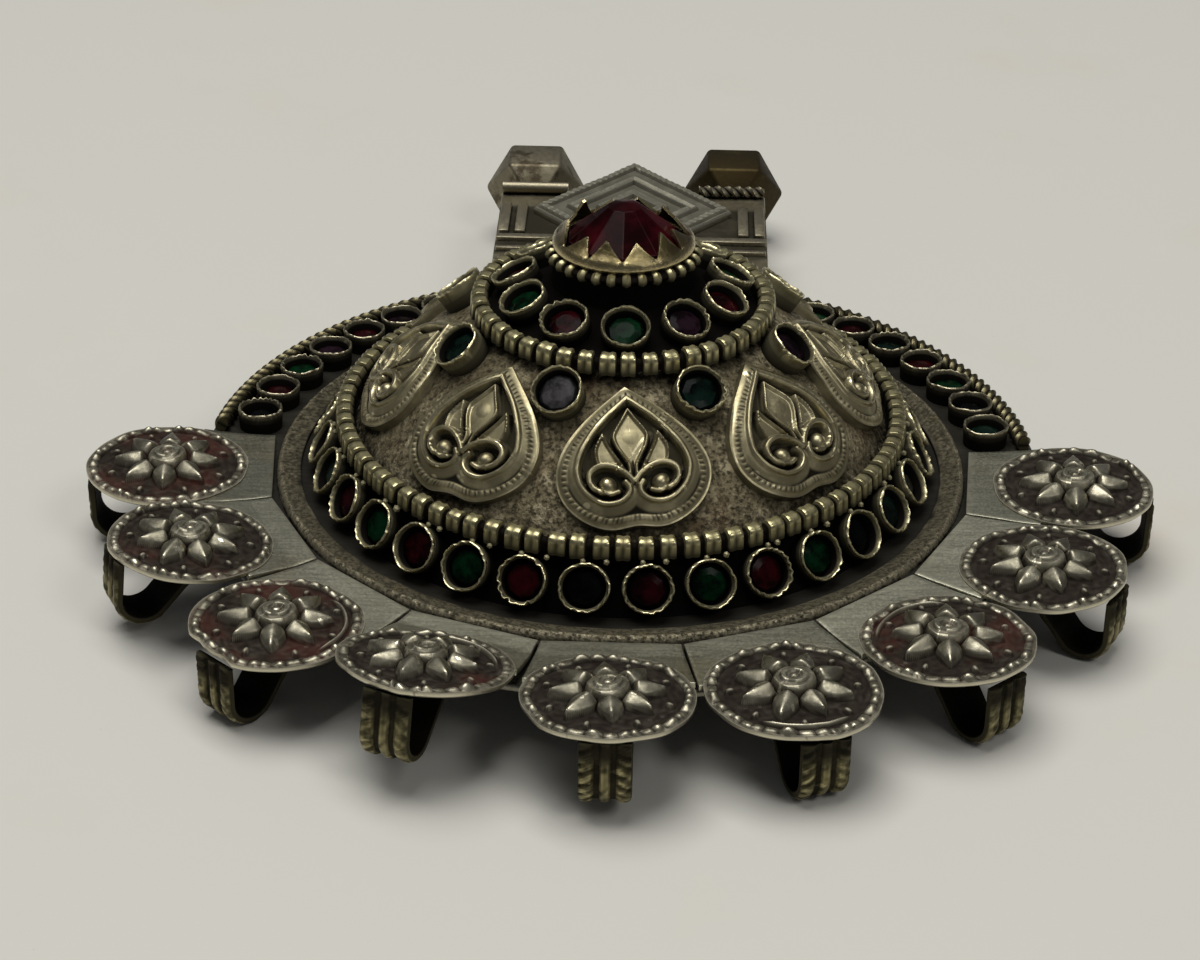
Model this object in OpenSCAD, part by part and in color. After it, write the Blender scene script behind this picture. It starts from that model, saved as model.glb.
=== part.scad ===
// A domed tribal pendant, lying on its back. Millimetres, +Z up, the bail towards +Y.
// Angles round the dome are counted from the front (-Y), positive towards +X.

/* [Base sheet] */
// Radius of the round sheet that everything is soldered on
plate_r = 41.8; // [40:0.1:42.2]
// Thickness of that sheet
plate_t = 0.8; // [0.6:0.1:1.2]
// Height of the sheet's upper face above the surface the pendant lies on
plate_top = 6.5; // [6.2:0.1:7.5]
// Outer radius of the milled border ring
border_r = 34.1; // [33.5:0.1:34.2]
// Radius of the twisted wire on the rear edge, to the middle of the wire
rim_wire_r = 40.7; // [40.4:0.1:40.9]
// Half thickness of the twisted wire on the rear edge
rim_wire_half = 0.85; // [0.6:0.05:0.9]

/* [Dome] */
// Outer radius of the collar's foot
collar_foot_r = 29.5; // [29.2:0.1:29.8]
// Outer radius where the collar ends and the dome starts
shoulder_r = 26.2; // [26:0.1:26.4]
// Height of that shoulder
shoulder_z = 11.7; // [11.6:0.1:11.8]
// Outer radius where the dome ends and the upper tier starts
tier_r = 12.9; // [12.7:0.1:13]
// Height where the upper tier starts
tier_z = 23.4; // [23.2:0.1:23.6]
// How far the dome bulges over a straight cone
dome_bulge = 1.2; // [0.6:0.1:1.6]
// Wall thickness of the dome, collar and tier
wall = 0.7; // [0.5:0.1:0.9]
// Height of the drum's top, which carries the finial
drum_z = 29; // [28.8:0.1:29.2]

/* [Collets and glass] */
// Outer radius of a collet on the collar
collar_collet_r = 2.4; // [2.1:0.05:2.45]
// Outer radius of a collet on the dome
dome_collet_r = 2.5; // [2.2:0.05:2.6]
// Outer radius of a collet on the upper tier
tier_collet_r = 2.4; // [2.1:0.05:2.45]
// Outer radius of a collet inside the rear rim
rim_collet_r = 2.3; // [2:0.05:2.4]
// Wall thickness of every collet
collet_wall = 0.45; // [0.3:0.05:0.6]
// Depth of the hole that the glass lies in
collet_depth = 1.5; // [1.3:0.1:1.6]

/* [Rosette tabs] */
// Radius of the embossed disc at a tab's end
disc_r = 8; // [7.6:0.1:8.1]
// Distance from the dome's axis to the middle of a disc
disc_reach = 44.8; // [44.6:0.1:45.2]
// Angle between one tab and the next
tab_pitch = 21.05; // [21.05:0.05:21.5]
// Thickness of a tab's sheet
tab_t = 0.6; // [0.4:0.1:0.8]
// Distance from the dome's axis to a tab's straight inner edge
tab_inner = 34.4; // [34.3:0.1:35]

/* [Strap loops] */
// Width of the strap that a loop is bent from
loop_w = 4.6; // [4:0.1:5]
// Outer radius of the loop's bend, over its ribs
loop_bend_r = 2.95; // [2.8:0.05:3]
// Thickness of the strap over its ribs
loop_t = 0.8; // [0.7:0.05:0.95]

/* [Bail] */
// Width of the bail block, along the cord
bail_w = 31; // [28:0.5:34]
// Distance from the dome's axis to the bail block's rear face
bail_rear = 61.5; // [60:0.5:63]
// Height of the bail block
bail_h = 9; // [8.5:0.5:10]
// Radius of the channel that the cord runs through
channel_r = 3; // [2:0.25:3.25]
// Half height of a faceted knob
knob_h = 4.3; // [3.5:0.1:4.3]

/* [Hidden] */
TAB_COUNT = 9;
LOOP_COUNT = TAB_COUNT;
HEARTS = 8;
$fn = 48;

plate_under = plate_top - plate_t;
clear = 0.05;

// Rows of collets: count, first angle, radius and height of the rim's middle, lift of its axis
// above level, outer radius, height of the tube
COUNT = 0;
FIRST = 1;
RIM_R = 2;
RIM_Z = 3;
LIFT = 4;
OUTER_R = 5;
TUBE_H = 6;
collar_row = [32, 6.2, 29.85, 9.8, 31, collar_collet_r, 2.4];
middle_row = [8, 25.9, 17.6, 23.2, 52, dome_collet_r, 2.6];
upper_row = [11, 2.5, 10.8, 27, 64, tier_collet_r, 2.5];
// The rim's collets stand upright, in one row for each side
RIM_COUNT = 8;
RIM_FIRST = 99;
RIM_STEP = 8;
rim_row_r = 37.2;
rim_collet_h = 2.2;

// Profiles of the hollow pieces, from foot to top: radius, height
collar_line = [[collar_foot_r, plate_top], [shoulder_r, shoulder_z]];
DOME_STEPS = 8;
dome_line = [for (i = [0:DOME_STEPS]) bulged([shoulder_r, shoulder_z], [tier_r, tier_z], i / DOME_STEPS)];
drum_foot = [7, 26.6];
drum_top_r = 6.7;
tier_line = [[tier_r, tier_z], [tier_r, tier_z + 0.5], drum_foot, [drum_top_r, drum_z], [0, drum_z]];

// Notched rings: middle radius, bottom height, height, radial width, number of notches
RING_R = 0;
RING_Z = 1;
RING_H = 2;
RING_W = 3;
RING_N = 4;
shoulder_row = [27.2, 11.78, 1.9, 1.8, 84];
upper_ring_row = [13.9, 23.65, 1.9, 1.8, 44];
finial_row = [6.9, drum_z, 1.25, 1.5, 30];

// Finial: bezel cup, teeth and rose-cut stone
bezel_z = drum_z + finial_row[RING_H];
bezel_r = 6.8;
bezel_h = 1.1;
TEETH = 12;
tooth_w = 2.9;
tooth_h = 2.3;
tooth_t = 0.4;
tooth_lean = 42;
stone_r = 5.5;
stone_gap = 0.1;
STONE_SIDES = 10;

// Heart plaques: the angle of each, then their size
heart_angles = [-131.6, -82, -38.5, 3.8, 48, 88, 138.4, 183.4];
heart_w = 13.8;
heart_len = 13.8;
heart_seat = [21.2, 18.7];
heart_lift = 49;
heart_t = 0.8;
relief_t = 1.4;
// Half outlines of the plaque's leaves, from tip to foot: across, up
lozenge_half = [[0, 4.4], [1.3, 2], [0.4, -0.6], [0.35, -4]];
side_leaf = [[2.7, 1.6], [3.1, -0.4], [2.2, -1.8], [0.4, -3.4], [1.5, -1]];
scroll_middle = [2.5, -2.9];
scroll_r = 1.5;

// Rosette: radii and heights of its relief above the tab
RIM_LOBES = 38;
PETALS = 8;
rosette_rim_r = 7.85;
rosette_rim_w = 0.8;
rosette_rim_h = 0.7;
petal_tip_r = 5.6;
petal_valley_r = 2.8;
petal_top = 1.5;
petal_tip_h = 0.35;
boss_r = 1.9;
boss_h = 1.7;
boss_dot_r = 0.7;
seed_r = 0.4;
seed_reach = 5.7;

// Some tabs were bent up later, about the line where the disc starts: degrees, from tab 1 on
tab_lift = [0, 6, 0, 13, 6, 0, 0, 0, 0];
tab_bend = disc_reach - disc_r;

// Loop: where its legs start on the underside of the tab, and its ribs
leg_start = 43;
bend_reach = 49.65;
rib_w = 1.05;
rib_rise = 0.25;
rib_offset = (loop_w - rib_w) / 2;
BEND_STEPS = 8;

// Bail: front of the block under the sheet, height of the channel, the diamond and the knobs
bail_front = 37.6;
channel_y = 51;
channel_z = 4.3;
diamond_y = 55.1;
diamond_half_w = 11.5;
diamond_half_l = 13.4;
diamond_t = 0.8;
frame_w = 1;
knob_x = 11.9;
knob_z = 6.2;
knob_corner = knob_h * sqrt(2);
knob_y = bail_rear + 1.2 + knob_corner;
neck_r = 2.2;
edge_wire_half = 0.75;
edge_wire_y = bail_rear - edge_wire_half;
edge_wire_from = 7.6;

// The pendant is centred on its whole length. The front loop reaches furthest
front_lift = tab_lift[(TAB_COUNT - 1) / 2];
front_reach = tab_bend + (bend_reach + loop_bend_r - tab_bend) * cos(front_lift)
    + (plate_top - loop_bend_r) * sin(front_lift);
rear_reach = knob_y + knob_corner;
dome_y = (front_reach - rear_reach) / 2;

function unit(v) = v / norm(v);
// Outward normal of a profile's segment that runs from foot to top
function side_normal(a, b) = unit([b.y - a.y, a.x - b.x]);
function corner_normal(p, i) =
    let (n1 = side_normal(p[i - 1], p[i]), n2 = side_normal(p[i], p[i + 1]))
    (n1 + n2) / (1 + n1 * n2);
// A profile moved outwards by d, whose first end stays level and whose last end stays level or on the axis
function moved(p, d) = [
    for (i = [0:len(p) - 1])
        i == 0 ? p[0] + [d / side_normal(p[0], p[1]).x, 0]
        : i < len(p) - 1 ? p[i] + d * corner_normal(p, i)
        : p[i].x == 0 ? p[i] + [0, d]
        : p[i] + [d / side_normal(p[i - 1], p[i]).x, 0]
];
function reversed(p) = [for (i = [len(p) - 1:-1:0]) p[i]];
// A point on a line from a to b that bulges to the side like a flat arc
function bulged(a, b, t) =
    a + (b - a) * t + side_normal(a, b) * dome_bulge * 4 * t * (1 - t);
function on_circle(r, angle) = [r * sin(angle), -r * cos(angle)];
function heart_outline(w, len, notch) = [
    for (t = [0:15:345])
        [w * 0.667 * sin(t) * sin(t / 2), len / 2 * cos(t) + notch * pow(sin(t / 2), 200)]
];

// Places a shape with its Z axis pointing outwards and up, at a radius and height round the dome
module seat(angle, r, z, lift = 90) {
    rotate([0, 0, angle]) translate([0, -r, z]) rotate([90 - lift, 0, 0]) children();
}

module on_dome_axis() {
    translate([0, dome_y, 0]) children();
}

// The wall between a profile moved outwards by d1 and by d2
module shell(profile, d1, d2) {
    rotate_extrude($fn = 96) polygon(concat(moved(profile, d2), reversed(moved(profile, d1))));
}

// A tube whose rim lies at z = 0; the hole is cut apart, so that it can follow a union
module collet_tube(row) {
    translate([0, 0, -row[TUBE_H]]) cylinder(h = row[TUBE_H], r = row[OUTER_R], $fn = 32);
}

module collet_hole(r) {
    translate([0, 0, -collet_depth]) cylinder(h = collet_depth + 1, r = r - collet_wall, $fn = 32);
}

module ring_of(row) {
    for (i = [0:row[COUNT] - 1])
        seat(row[FIRST] + i * 360 / row[COUNT], row[RIM_R], row[RIM_Z], row[LIFT]) children();
}

// Glass cut with eight sides, a girdle, a crown and a table, lying in its collet's hole
module cut_glass(r) {
    glass_r = r - collet_wall - stone_gap;
    glass_h = 0.9;
    girdle = 0.4;
    translate([0, 0, stone_gap - collet_depth])
        rotate_extrude($fn = 8)
            polygon([[0, 0], [glass_r, 0], [glass_r, girdle], [glass_r * 0.55, glass_h], [0, glass_h]]);
}

module with_collets(row) {
    difference() {
        union() {
            children();
            ring_of(row) collet_tube(row);
        }
        ring_of(row) collet_hole(row[OUTER_R]);
    }
}

// A ring of square wire with notches filed across its outer side
module notched_ring(row) {
    inner = row[RING_R] - row[RING_W] / 2;
    outer = row[RING_R] + row[RING_W] / 2;
    notch = 0.35;
    step = 360 / row[RING_N];
    teeth = [for (i = [0:row[RING_N] - 1], part = [[0, 0], [0.12, 1], [0.6, 1], [0.72, 0]])
        on_circle(outer - notch + notch * part[1], (i + part[0]) * step)];
    translate([0, 0, row[RING_Z]])
        difference() {
            linear_extrude(row[RING_H]) polygon(teeth);
            translate([0, 0, -1]) cylinder(h = row[RING_H] + 2, r = inner, $fn = 96);
        }
}

module base_plate() {
    color("dimgray")
        translate([0, 0, plate_under]) cylinder(h = plate_t, r = plate_r, $fn = 120);
}

module border_ring() {
    foot_in = border_r - 2.4;
    color("gray")
        rotate_extrude($fn = 96)
            polygon([
                [foot_in, plate_top], [border_r, plate_top], [border_r, plate_top + 0.5],
                [border_r - 0.7, plate_top + 0.9], [border_r - 1.4, plate_top + 0.6],
                [foot_in + 0.4, plate_top + 0.7], [foot_in, plate_top + 0.3]
            ]);
}

module rim_wire(side) {
    first = RIM_FIRST - 3.3;
    sweep = 60.5;
    start = side > 0 ? first - 90 : 270 - first - sweep;
    color("darkkhaki")
        rotate([0, 0, start])
            rotate_extrude(angle = sweep, $fn = 120)
                translate([rim_wire_r, plate_top + rim_wire_half * cos(22.5)])
                    rotate(22.5) circle(r = rim_wire_half, $fn = 8);
}

module rim_places() {
    for (side = [-1, 1], i = [0:RIM_COUNT - 1])
        seat(side * (RIM_FIRST + i * RIM_STEP), rim_row_r, plate_top + rim_collet_h) children();
}

module rim_collets() {
    color("darkkhaki")
        rim_places() difference() {
            translate([0, 0, -rim_collet_h]) cylinder(h = rim_collet_h, r = rim_collet_r, $fn = 32);
            collet_hole(rim_collet_r);
        }
}

module rim_stones() {
    color("darkred") rim_places() cut_glass(rim_collet_r);
}

module collar() {
    color("dimgray") with_collets(collar_row) shell(collar_line, -wall, 0);
}

module collar_stones() {
    color("darkgreen") ring_of(collar_row) cut_glass(collar_collet_r);
}

module shoulder_ring() {
    color("darkkhaki") notched_ring(shoulder_row);
}

module dome() {
    color("dimgray") with_collets(middle_row) shell(dome_line, -wall, 0);
}

module middle_stones() {
    color("darkgreen") ring_of(middle_row) cut_glass(dome_collet_r);
}

// A flat outline carried onto the dome, between two distances from its surface
module on_dome(angle, from, to) {
    reach = 6;
    intersection() {
        seat(angle, heart_seat.x, heart_seat.y, heart_lift)
            translate([0, 0, -reach / 2]) linear_extrude(reach) children();
        shell(dome_line, from, to);
    }
}

module heart(i) {
    angle = heart_angles[i - 1];
    buried = clear + heart_t / 2;
    color("darkkhaki") union() {
        on_dome(angle, clear, clear + heart_t) polygon(heart_outline(heart_w, heart_len, 1));
        on_dome(angle, buried, clear + relief_t) difference() {
            polygon(heart_outline(heart_w - 2.2, heart_len - 2, 1));
            polygon(heart_outline(heart_w - 4, heart_len - 4, 1));
        }
        on_dome(angle, buried, clear + relief_t) {
            polygon(concat(lozenge_half, reversed([for (p = lozenge_half) if (p.x > 0) [-p.x, p.y]])));
            for (side = [-1, 1]) {
                polygon([for (p = side_leaf) [side * p.x, p.y]]);
                translate([side * scroll_middle.x, scroll_middle.y]) difference() {
                    circle(r = scroll_r, $fn = 24);
                    circle(r = scroll_r - 0.6, $fn = 24);
                }
            }
        }
    }
}

module upper_ring() {
    color("darkkhaki") notched_ring(upper_ring_row);
}

module upper_tier() {
    color("dimgray") with_collets(upper_row) shell(tier_line, -wall, 0);
}

module upper_stones() {
    color("darkgreen") ring_of(upper_row) cut_glass(tier_collet_r);
}

module finial_ring() {
    color("darkkhaki") notched_ring(finial_row);
}

module finial_bezel() {
    floor_t = 0.6;
    cup_wall = 0.5;
    top_r = bezel_r - 0.3;
    color("khaki") union() {
        translate([0, 0, bezel_z])
            rotate_extrude($fn = 72)
                polygon([
                    [top_r - 1.6, 0], [bezel_r, 0], [top_r, bezel_h],
                    [top_r - cup_wall, bezel_h], [top_r - cup_wall, floor_t], [top_r - 1.6, floor_t]
                ]);
        for (i = [0:TEETH - 1])
            seat((i + 0.3) * 360 / TEETH, top_r - 0.1, bezel_z + bezel_h - 0.25, tooth_lean)
                translate([0, 0, -tooth_t])
                    linear_extrude(tooth_t)
                        polygon([[-tooth_w / 2, 0], [tooth_w / 2, 0], [0, tooth_h]]);
    }
}

module finial_stone() {
    foot = bezel_z + 0.6 + stone_gap;
    color("darkred")
        rotate_extrude($fn = STONE_SIDES)
            polygon([
                [0, foot], [stone_r, foot], [stone_r, foot + 0.3],
                [3.6, foot + 2.2], [1.5, foot + 3.4], [0, foot + 3.8]
            ]);
}

// Star of ridged petals, one closed body from its foot at z = 0
module petal_star() {
    corners = 2 * PETALS;
    foot = [for (i = [0:corners - 1])
        concat(on_circle(i % 2 == 0 ? petal_tip_r : petal_valley_r, i * 360 / corners), 0)];
    crest = [for (i = [0:corners - 1]) foot[i] + [0, 0, i % 2 == 0 ? petal_tip_h : petal_tip_h / 2]];
    apex = 2 * corners;
    polyhedron(
        points = concat(foot, crest, [[0, 0, petal_top]]),
        faces = concat(
            [[for (i = [0:corners - 1]) i]],
            [for (i = [0:corners - 1]) [i, i + corners, (i + 1) % corners + corners, (i + 1) % corners]],
            [for (i = [0:corners - 1]) [i + corners, apex, (i + 1) % corners + corners]]
        )
    );
}

module rosette() {
    lobes = [for (i = [0:RIM_LOBES - 1], part = [[0, 0], [0.2, 1], [0.8, 1]])
        on_circle(rosette_rim_r - 0.25 * (1 - part[1]), (i + part[0]) * 360 / RIM_LOBES)];
    linear_extrude(rosette_rim_h) difference() {
        polygon(lobes);
        circle(r = rosette_rim_r - rosette_rim_w, $fn = 60);
    }
    petal_star();
    difference() {
        cylinder(h = boss_h, r = boss_r, $fn = 32);
        translate([0, 0, boss_h - 0.4]) cylinder(h = 1, r = boss_r - 0.5, $fn = 32);
    }
    cylinder(h = boss_h, r = boss_dot_r, $fn = 24);
    for (i = [0:PETALS - 1])
        rotate([0, 0, (i + 0.5) * 360 / PETALS])
            translate([0, -seed_reach, 0]) cylinder(h = 0.4, r = seed_r, $fn = 16);
}

function tab_angle(i) = (i - (TAB_COUNT + 1) / 2) * tab_pitch;

// Lifts what lies in front of a tab's bend
module bent_up(i) {
    translate([0, -tab_bend, plate_top])
        rotate([-tab_lift[i - 1], 0, 0])
            translate([0, tab_bend, -plate_top]) children();
}

// A stretch of a tab's sheet, between two distances from the dome's axis
module tab_sheet(from, to) {
    side_gap = 0.12;
    slope = tan(tab_pitch / 2);
    from_half = from * slope - side_gap;
    to_half = to * slope - side_gap;
    polygon([[-from_half, -from], [from_half, -from], [to_half, -to], [-to_half, -to]]);
}

module tab(i) {
    sheet_end = disc_reach - 3.2;
    sunk = 0.1;
    color("silver")
        rotate([0, 0, tab_angle(i)]) union() {
            translate([0, 0, plate_top]) linear_extrude(tab_t) tab_sheet(tab_inner, tab_bend);
            bent_up(i) {
                translate([0, 0, plate_top])
                    linear_extrude(tab_t) union() {
                        tab_sheet(tab_bend, sheet_end);
                        translate([0, -disc_reach]) circle(r = disc_r, $fn = 60);
                    }
                translate([0, -disc_reach, plate_top + tab_t - sunk]) rosette();
            }
        }
}

// Side outline of a strap loop, as outwards and up: a slanted leg, a bend and an upright leg
function bend_line(r) =
    let (
        middle = [bend_reach, loop_bend_r],
        drop = plate_top - middle.y,
        run = middle.x - leg_start,
        slope = atan2(drop, run) + asin(loop_bend_r / norm([run, drop])),
        sweep = 90 + slope
    )
    concat(
        [[leg_start + (loop_bend_r - r) / sin(slope), plate_top]],
        [for (k = [0:BEND_STEPS])
            middle + r * [cos(360 - sweep + k * sweep / BEND_STEPS), sin(360 - sweep + k * sweep / BEND_STEPS)]],
        [[bend_reach + r, plate_top]]
    );

module strap(offset, width, r) {
    translate([offset + width / 2, 0, 0])
        rotate([90, 0, -90])
            linear_extrude(width)
                polygon(concat(bend_line(r), reversed(bend_line(loop_bend_r - loop_t))));
}

module loop(i) {
    color("darkkhaki")
        rotate([0, 0, tab_angle(i)]) bent_up(i) union() {
            strap(0, loop_w, loop_bend_r - rib_rise);
            for (offset = [-rib_offset, 0, rib_offset]) strap(offset, rib_w, loop_bend_r);
        }
}

module bail_box() {
    half = bail_w / 2;
    bar = 0.5;
    color("gray") difference() {
        union() {
            translate([-half, bail_front, 0]) cube([bail_w, bail_rear - bail_front, bail_h]);
            for (side = [-1, 1]) {
                translate([side < 0 ? -half : half - 8, 47, bail_h - 0.1]) cube([8, 1.2, bar + 0.1]);
                for (x = [half - 1.2, half - 3.4])
                    translate([side < 0 ? -x - 1 : x, 49, bail_h - 0.1]) cube([1, 8, bar + 0.1]);
            }
        }
        translate([0, 0, plate_under]) cylinder(h = bail_h, r = plate_r + clear, $fn = 120);
        translate([-half - 1, channel_y, channel_z])
            rotate([0, 90, 0]) cylinder(h = bail_w + 2, r = channel_r, $fn = 48);
    }
}

module diamond(inset) {
    k = 1 - inset / diamond_half_w;
    polygon([[0, -diamond_half_l * k], [diamond_half_w * k, 0], [0, diamond_half_l * k], [-diamond_half_w * k, 0]]);
}

module diamond_plate() {
    sunk = 0.2;
    color("slategray")
        translate([0, diamond_y, bail_h]) union() {
            linear_extrude(diamond_t) diamond(0);
            for (inset = [0.3, 3, 5.6])
                translate([0, 0, diamond_t - sunk]) linear_extrude(0.5 + sunk) difference() {
                    diamond(inset);
                    diamond(inset + frame_w);
                }
        }
}

module edge_wire(side) {
    length = bail_w / 2 - edge_wire_from;
    color("darkkhaki")
        translate([side < 0 ? -bail_w / 2 : edge_wire_from, edge_wire_y, bail_h + edge_wire_half * cos(22.5)])
            rotate([0, 90, 0]) rotate(22.5) cylinder(h = length, r = edge_wire_half, $fn = 8);
}

// A cube with its corners cut off to the middle of the edges, standing with one edge to the front
module knob(side) {
    s = knob_h;
    edge = s / sqrt(2);
    belt = [[knob_corner, 0, 0], [0, knob_corner, 0], [-knob_corner, 0, 0], [0, -knob_corner, 0]];
    square_at = [[edge, edge], [-edge, edge], [-edge, -edge], [edge, -edge]];
    points = concat([for (p = square_at) concat(p, s)], belt, [for (p = square_at) concat(p, -s)]);
    color("darkolivegreen")
        translate([side * knob_x, knob_y, knob_z]) union() {
            polyhedron(
                points = points,
                faces = concat(
                    [[3, 2, 1, 0], [8, 9, 10, 11]],
                    [for (i = [0:3]) [i, (i + 1) % 4, 4 + (i + 1) % 4]],
                    [for (i = [0:3]) [8 + (i + 1) % 4, 8 + i, 4 + (i + 1) % 4]],
                    [for (i = [0:3]) [i, 4 + (i + 1) % 4, 8 + i, 4 + i]]
                )
            );
            translate([0, bail_rear - knob_y, 0])
                rotate([-90, 0, 0]) cylinder(h = knob_y - bail_rear, r = neck_r, $fn = 24);
        }
}

on_dome_axis() {
    base_plate();
    border_ring();
    rim_wire(-1);  // rim_wire_left
    rim_wire(1);  // rim_wire_right
    rim_collets();
    rim_stones();
    collar();
    collar_stones();
    shoulder_ring();
    dome();
    middle_stones();
    upper_ring();
    upper_tier();
    upper_stones();
    finial_ring();
    finial_bezel();
    finial_stone();
    bail_box();
    diamond_plate();
    edge_wire(-1);  // edge_wire_left
    edge_wire(1);  // edge_wire_right
    knob(-1);  // knob_left
    knob(1);  // knob_right
    for (i = [1:HEARTS]) heart(i);
    for (i = [1:TAB_COUNT]) tab(i);
    for (i = [1:LOOP_COUNT]) loop(i);
}
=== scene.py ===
from math import asin, atan2, cos, degrees, floor, hypot, pi, radians, sin, sqrt, tan, tau

import bmesh
import bpy
from mathutils import Matrix, Vector, noise


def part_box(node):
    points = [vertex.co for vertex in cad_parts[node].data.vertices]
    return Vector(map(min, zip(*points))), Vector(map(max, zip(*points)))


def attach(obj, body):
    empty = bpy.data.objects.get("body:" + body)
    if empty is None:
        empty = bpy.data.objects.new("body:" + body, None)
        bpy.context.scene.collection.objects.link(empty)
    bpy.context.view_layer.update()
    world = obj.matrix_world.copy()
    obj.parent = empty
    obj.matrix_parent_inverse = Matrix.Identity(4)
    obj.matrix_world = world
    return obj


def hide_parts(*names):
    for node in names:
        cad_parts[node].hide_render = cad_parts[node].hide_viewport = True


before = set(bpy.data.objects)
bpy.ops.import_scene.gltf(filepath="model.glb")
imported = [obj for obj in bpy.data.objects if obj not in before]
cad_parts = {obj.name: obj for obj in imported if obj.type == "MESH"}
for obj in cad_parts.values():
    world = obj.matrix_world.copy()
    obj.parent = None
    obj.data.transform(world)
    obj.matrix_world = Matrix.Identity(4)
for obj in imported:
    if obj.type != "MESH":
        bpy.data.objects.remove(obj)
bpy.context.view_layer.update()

# The surface, the light and the camera.
# A pale, faintly stained table top under soft studio light. The pendant lies on it on its back and
# is seen from its lower edge, 29 degrees above the table. Sizes are millimetres round the dome's axis.
MM = 0.001
sheet_low, sheet_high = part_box("base_plate")
dome_axis = Vector(((sheet_low.x + sheet_high.x) / 2, (sheet_low.y + sheet_high.y) / 2, 0))
to_row = Matrix.Translation(dome_axis) @ Matrix.Scale(MM, 4)


def filled(tree, made, inputs):
    """A shader node whose inputs are set to numbers, or linked."""
    for key, value in inputs.items():
        if isinstance(value, bpy.types.NodeSocket):
            tree.links.new(value, made.inputs[key])
        else:
            made.inputs[key].default_value = value
    return made


def node(tree, kind, inputs, **settings):
    """A new shader node with its options set, and its inputs filled in or linked."""
    made = tree.nodes.new("ShaderNode" + kind)
    for name, value in settings.items():
        setattr(made, name, value)
    return filled(tree, made, inputs)


def worked_out(tree, operation, a, b):
    """Two numbers put together, held between 0 and 1."""
    return node(tree, "Math", {0: a, 1: b}, operation=operation, use_clamp=True).outputs[0]


def laid_over(tree, share, under, over, strength=None):
    """One colour laid over another, by a share from 0 to 1 that may be weakened."""
    if strength is not None:
        share = worked_out(tree, "MULTIPLY", share, strength)
    if not isinstance(under, bpy.types.NodeSocket):
        under = (*under, 1)
    if not isinstance(over, bpy.types.NodeSocket):
        over = (*over, 1)
    return node(tree, "Mix", {0: share, 6: under, 7: over}, data_type="RGBA").outputs[2]


def spread(tree, value, start, end, low=0.0, high=1.0):
    """A number carried smoothly from one range onto another."""
    ends = {"From Min": start, "From Max": end, "To Min": low, "To Max": high}
    return node(tree, "MapRange", {"Value": value, **ends}, interpolation_type="SMOOTHSTEP").outputs[0]


def effect(name, inputs, outputs):
    """An empty shader group with named number sockets: its tree, what comes in, and what goes out."""
    tree = bpy.data.node_groups.new(name, "ShaderNodeTree")
    number = "NodeSocketFloat"
    for label, value in inputs.items():
        tree.interface.new_socket(label, in_out="INPUT", socket_type=number).default_value = value
    for label in outputs:
        tree.interface.new_socket(label, in_out="OUTPUT", socket_type=number)
    return tree, tree.nodes.new("NodeGroupInput").outputs, tree.nodes.new("NodeGroupOutput").inputs


def placed(tree, group, **values):
    """An effect's outputs, placed in a material with its own values."""
    made = tree.nodes.new("ShaderNodeGroup")
    made.node_tree = group
    for label, value in values.items():
        made.inputs[label.replace("_", " ").capitalize()].default_value = value
    return made.outputs


def here(tree):
    return node(tree, "TexCoord", {}).outputs["Object"]


def mottled(tree, place, scale, detail, roughness):
    """Noise over the mesh, from 0 to 1."""
    return node(tree, "TexNoise", {"Vector": place, "Scale": scale, "Detail": detail,
                                   "Roughness": roughness}).outputs[0]


cloudy_stain, given, gives = effect("Cloudy stain", {"Scale": 60, "Start": 0.5, "End": 0.7}, ["Mask"])
cloud = mottled(cloudy_stain, here(cloudy_stain), given["Scale"], 5, 0.62)
cloudy_stain.links.new(spread(cloudy_stain, cloud, given["Start"], given["End"]), gives["Mask"])

fine_grain, given, gives = effect("Fine grain", {"Scale": 3000}, ["Height", "Mask"])
grain = mottled(fine_grain, here(fine_grain), given["Scale"], 6, 0.7)
fine_grain.links.new(grain, gives["Height"])
fine_grain.links.new(spread(fine_grain, grain, 0.42, 0.62), gives["Mask"])


def stain(tree, scale, start, end):
    return placed(tree, cloudy_stain, scale=scale, start=start, end=end)["Mask"]


def bumped(tree, height, strength, distance):
    return node(tree, "Bump", {"Height": height, "Strength": strength, "Distance": distance}).outputs[0]


def new_material(name):
    """A material's tree and its shader."""
    made = bpy.data.materials.new(name)
    made.use_nodes = True
    return made, made.node_tree, made.node_tree.nodes["Principled BSDF"]


def finished_mesh(name, bm, place=to_row, sharp=40):
    """An object of a bmesh that was made in millimetres round the dome's axis."""
    bmesh.ops.transform(bm, matrix=place, verts=bm.verts)
    for face in bm.faces:
        face.smooth = True
    mesh = bpy.data.meshes.new(name)
    bm.to_mesh(mesh)
    bm.free()
    mesh.set_sharp_from_angle(angle=radians(sharp))
    made = bpy.data.objects.new(name, mesh)
    bpy.context.scene.collection.objects.link(made)
    return made


def table_paint():
    made, tree, shader = new_material("stained pale paint")
    smudged = laid_over(tree, stain(tree, 14, 0.56, 0.78), (0.7, 0.69, 0.635), (0.75, 0.74, 0.69), 0.5)
    warmed = laid_over(tree, stain(tree, 26, 0.55, 0.8), smudged, (0.72, 0.6, 0.47), 0.35)
    dotted = laid_over(tree, stain(tree, 900, 0.72, 0.78), warmed, (0.3, 0.24, 0.18), 0.3)
    grit = bumped(tree, placed(tree, fine_grain, scale=700)["Height"], 0.15, 0.2 * MM)
    filled(tree, shader, {"Base Color": dotted, "Roughness": 0.55, "Normal": grit})
    return made


table_half = 1600
bm = bmesh.new()
bmesh.ops.create_grid(bm, x_segments=1, y_segments=1, size=table_half)
table_top = finished_mesh("table_top", bm)
table_top.data.materials.append(table_paint())

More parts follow.
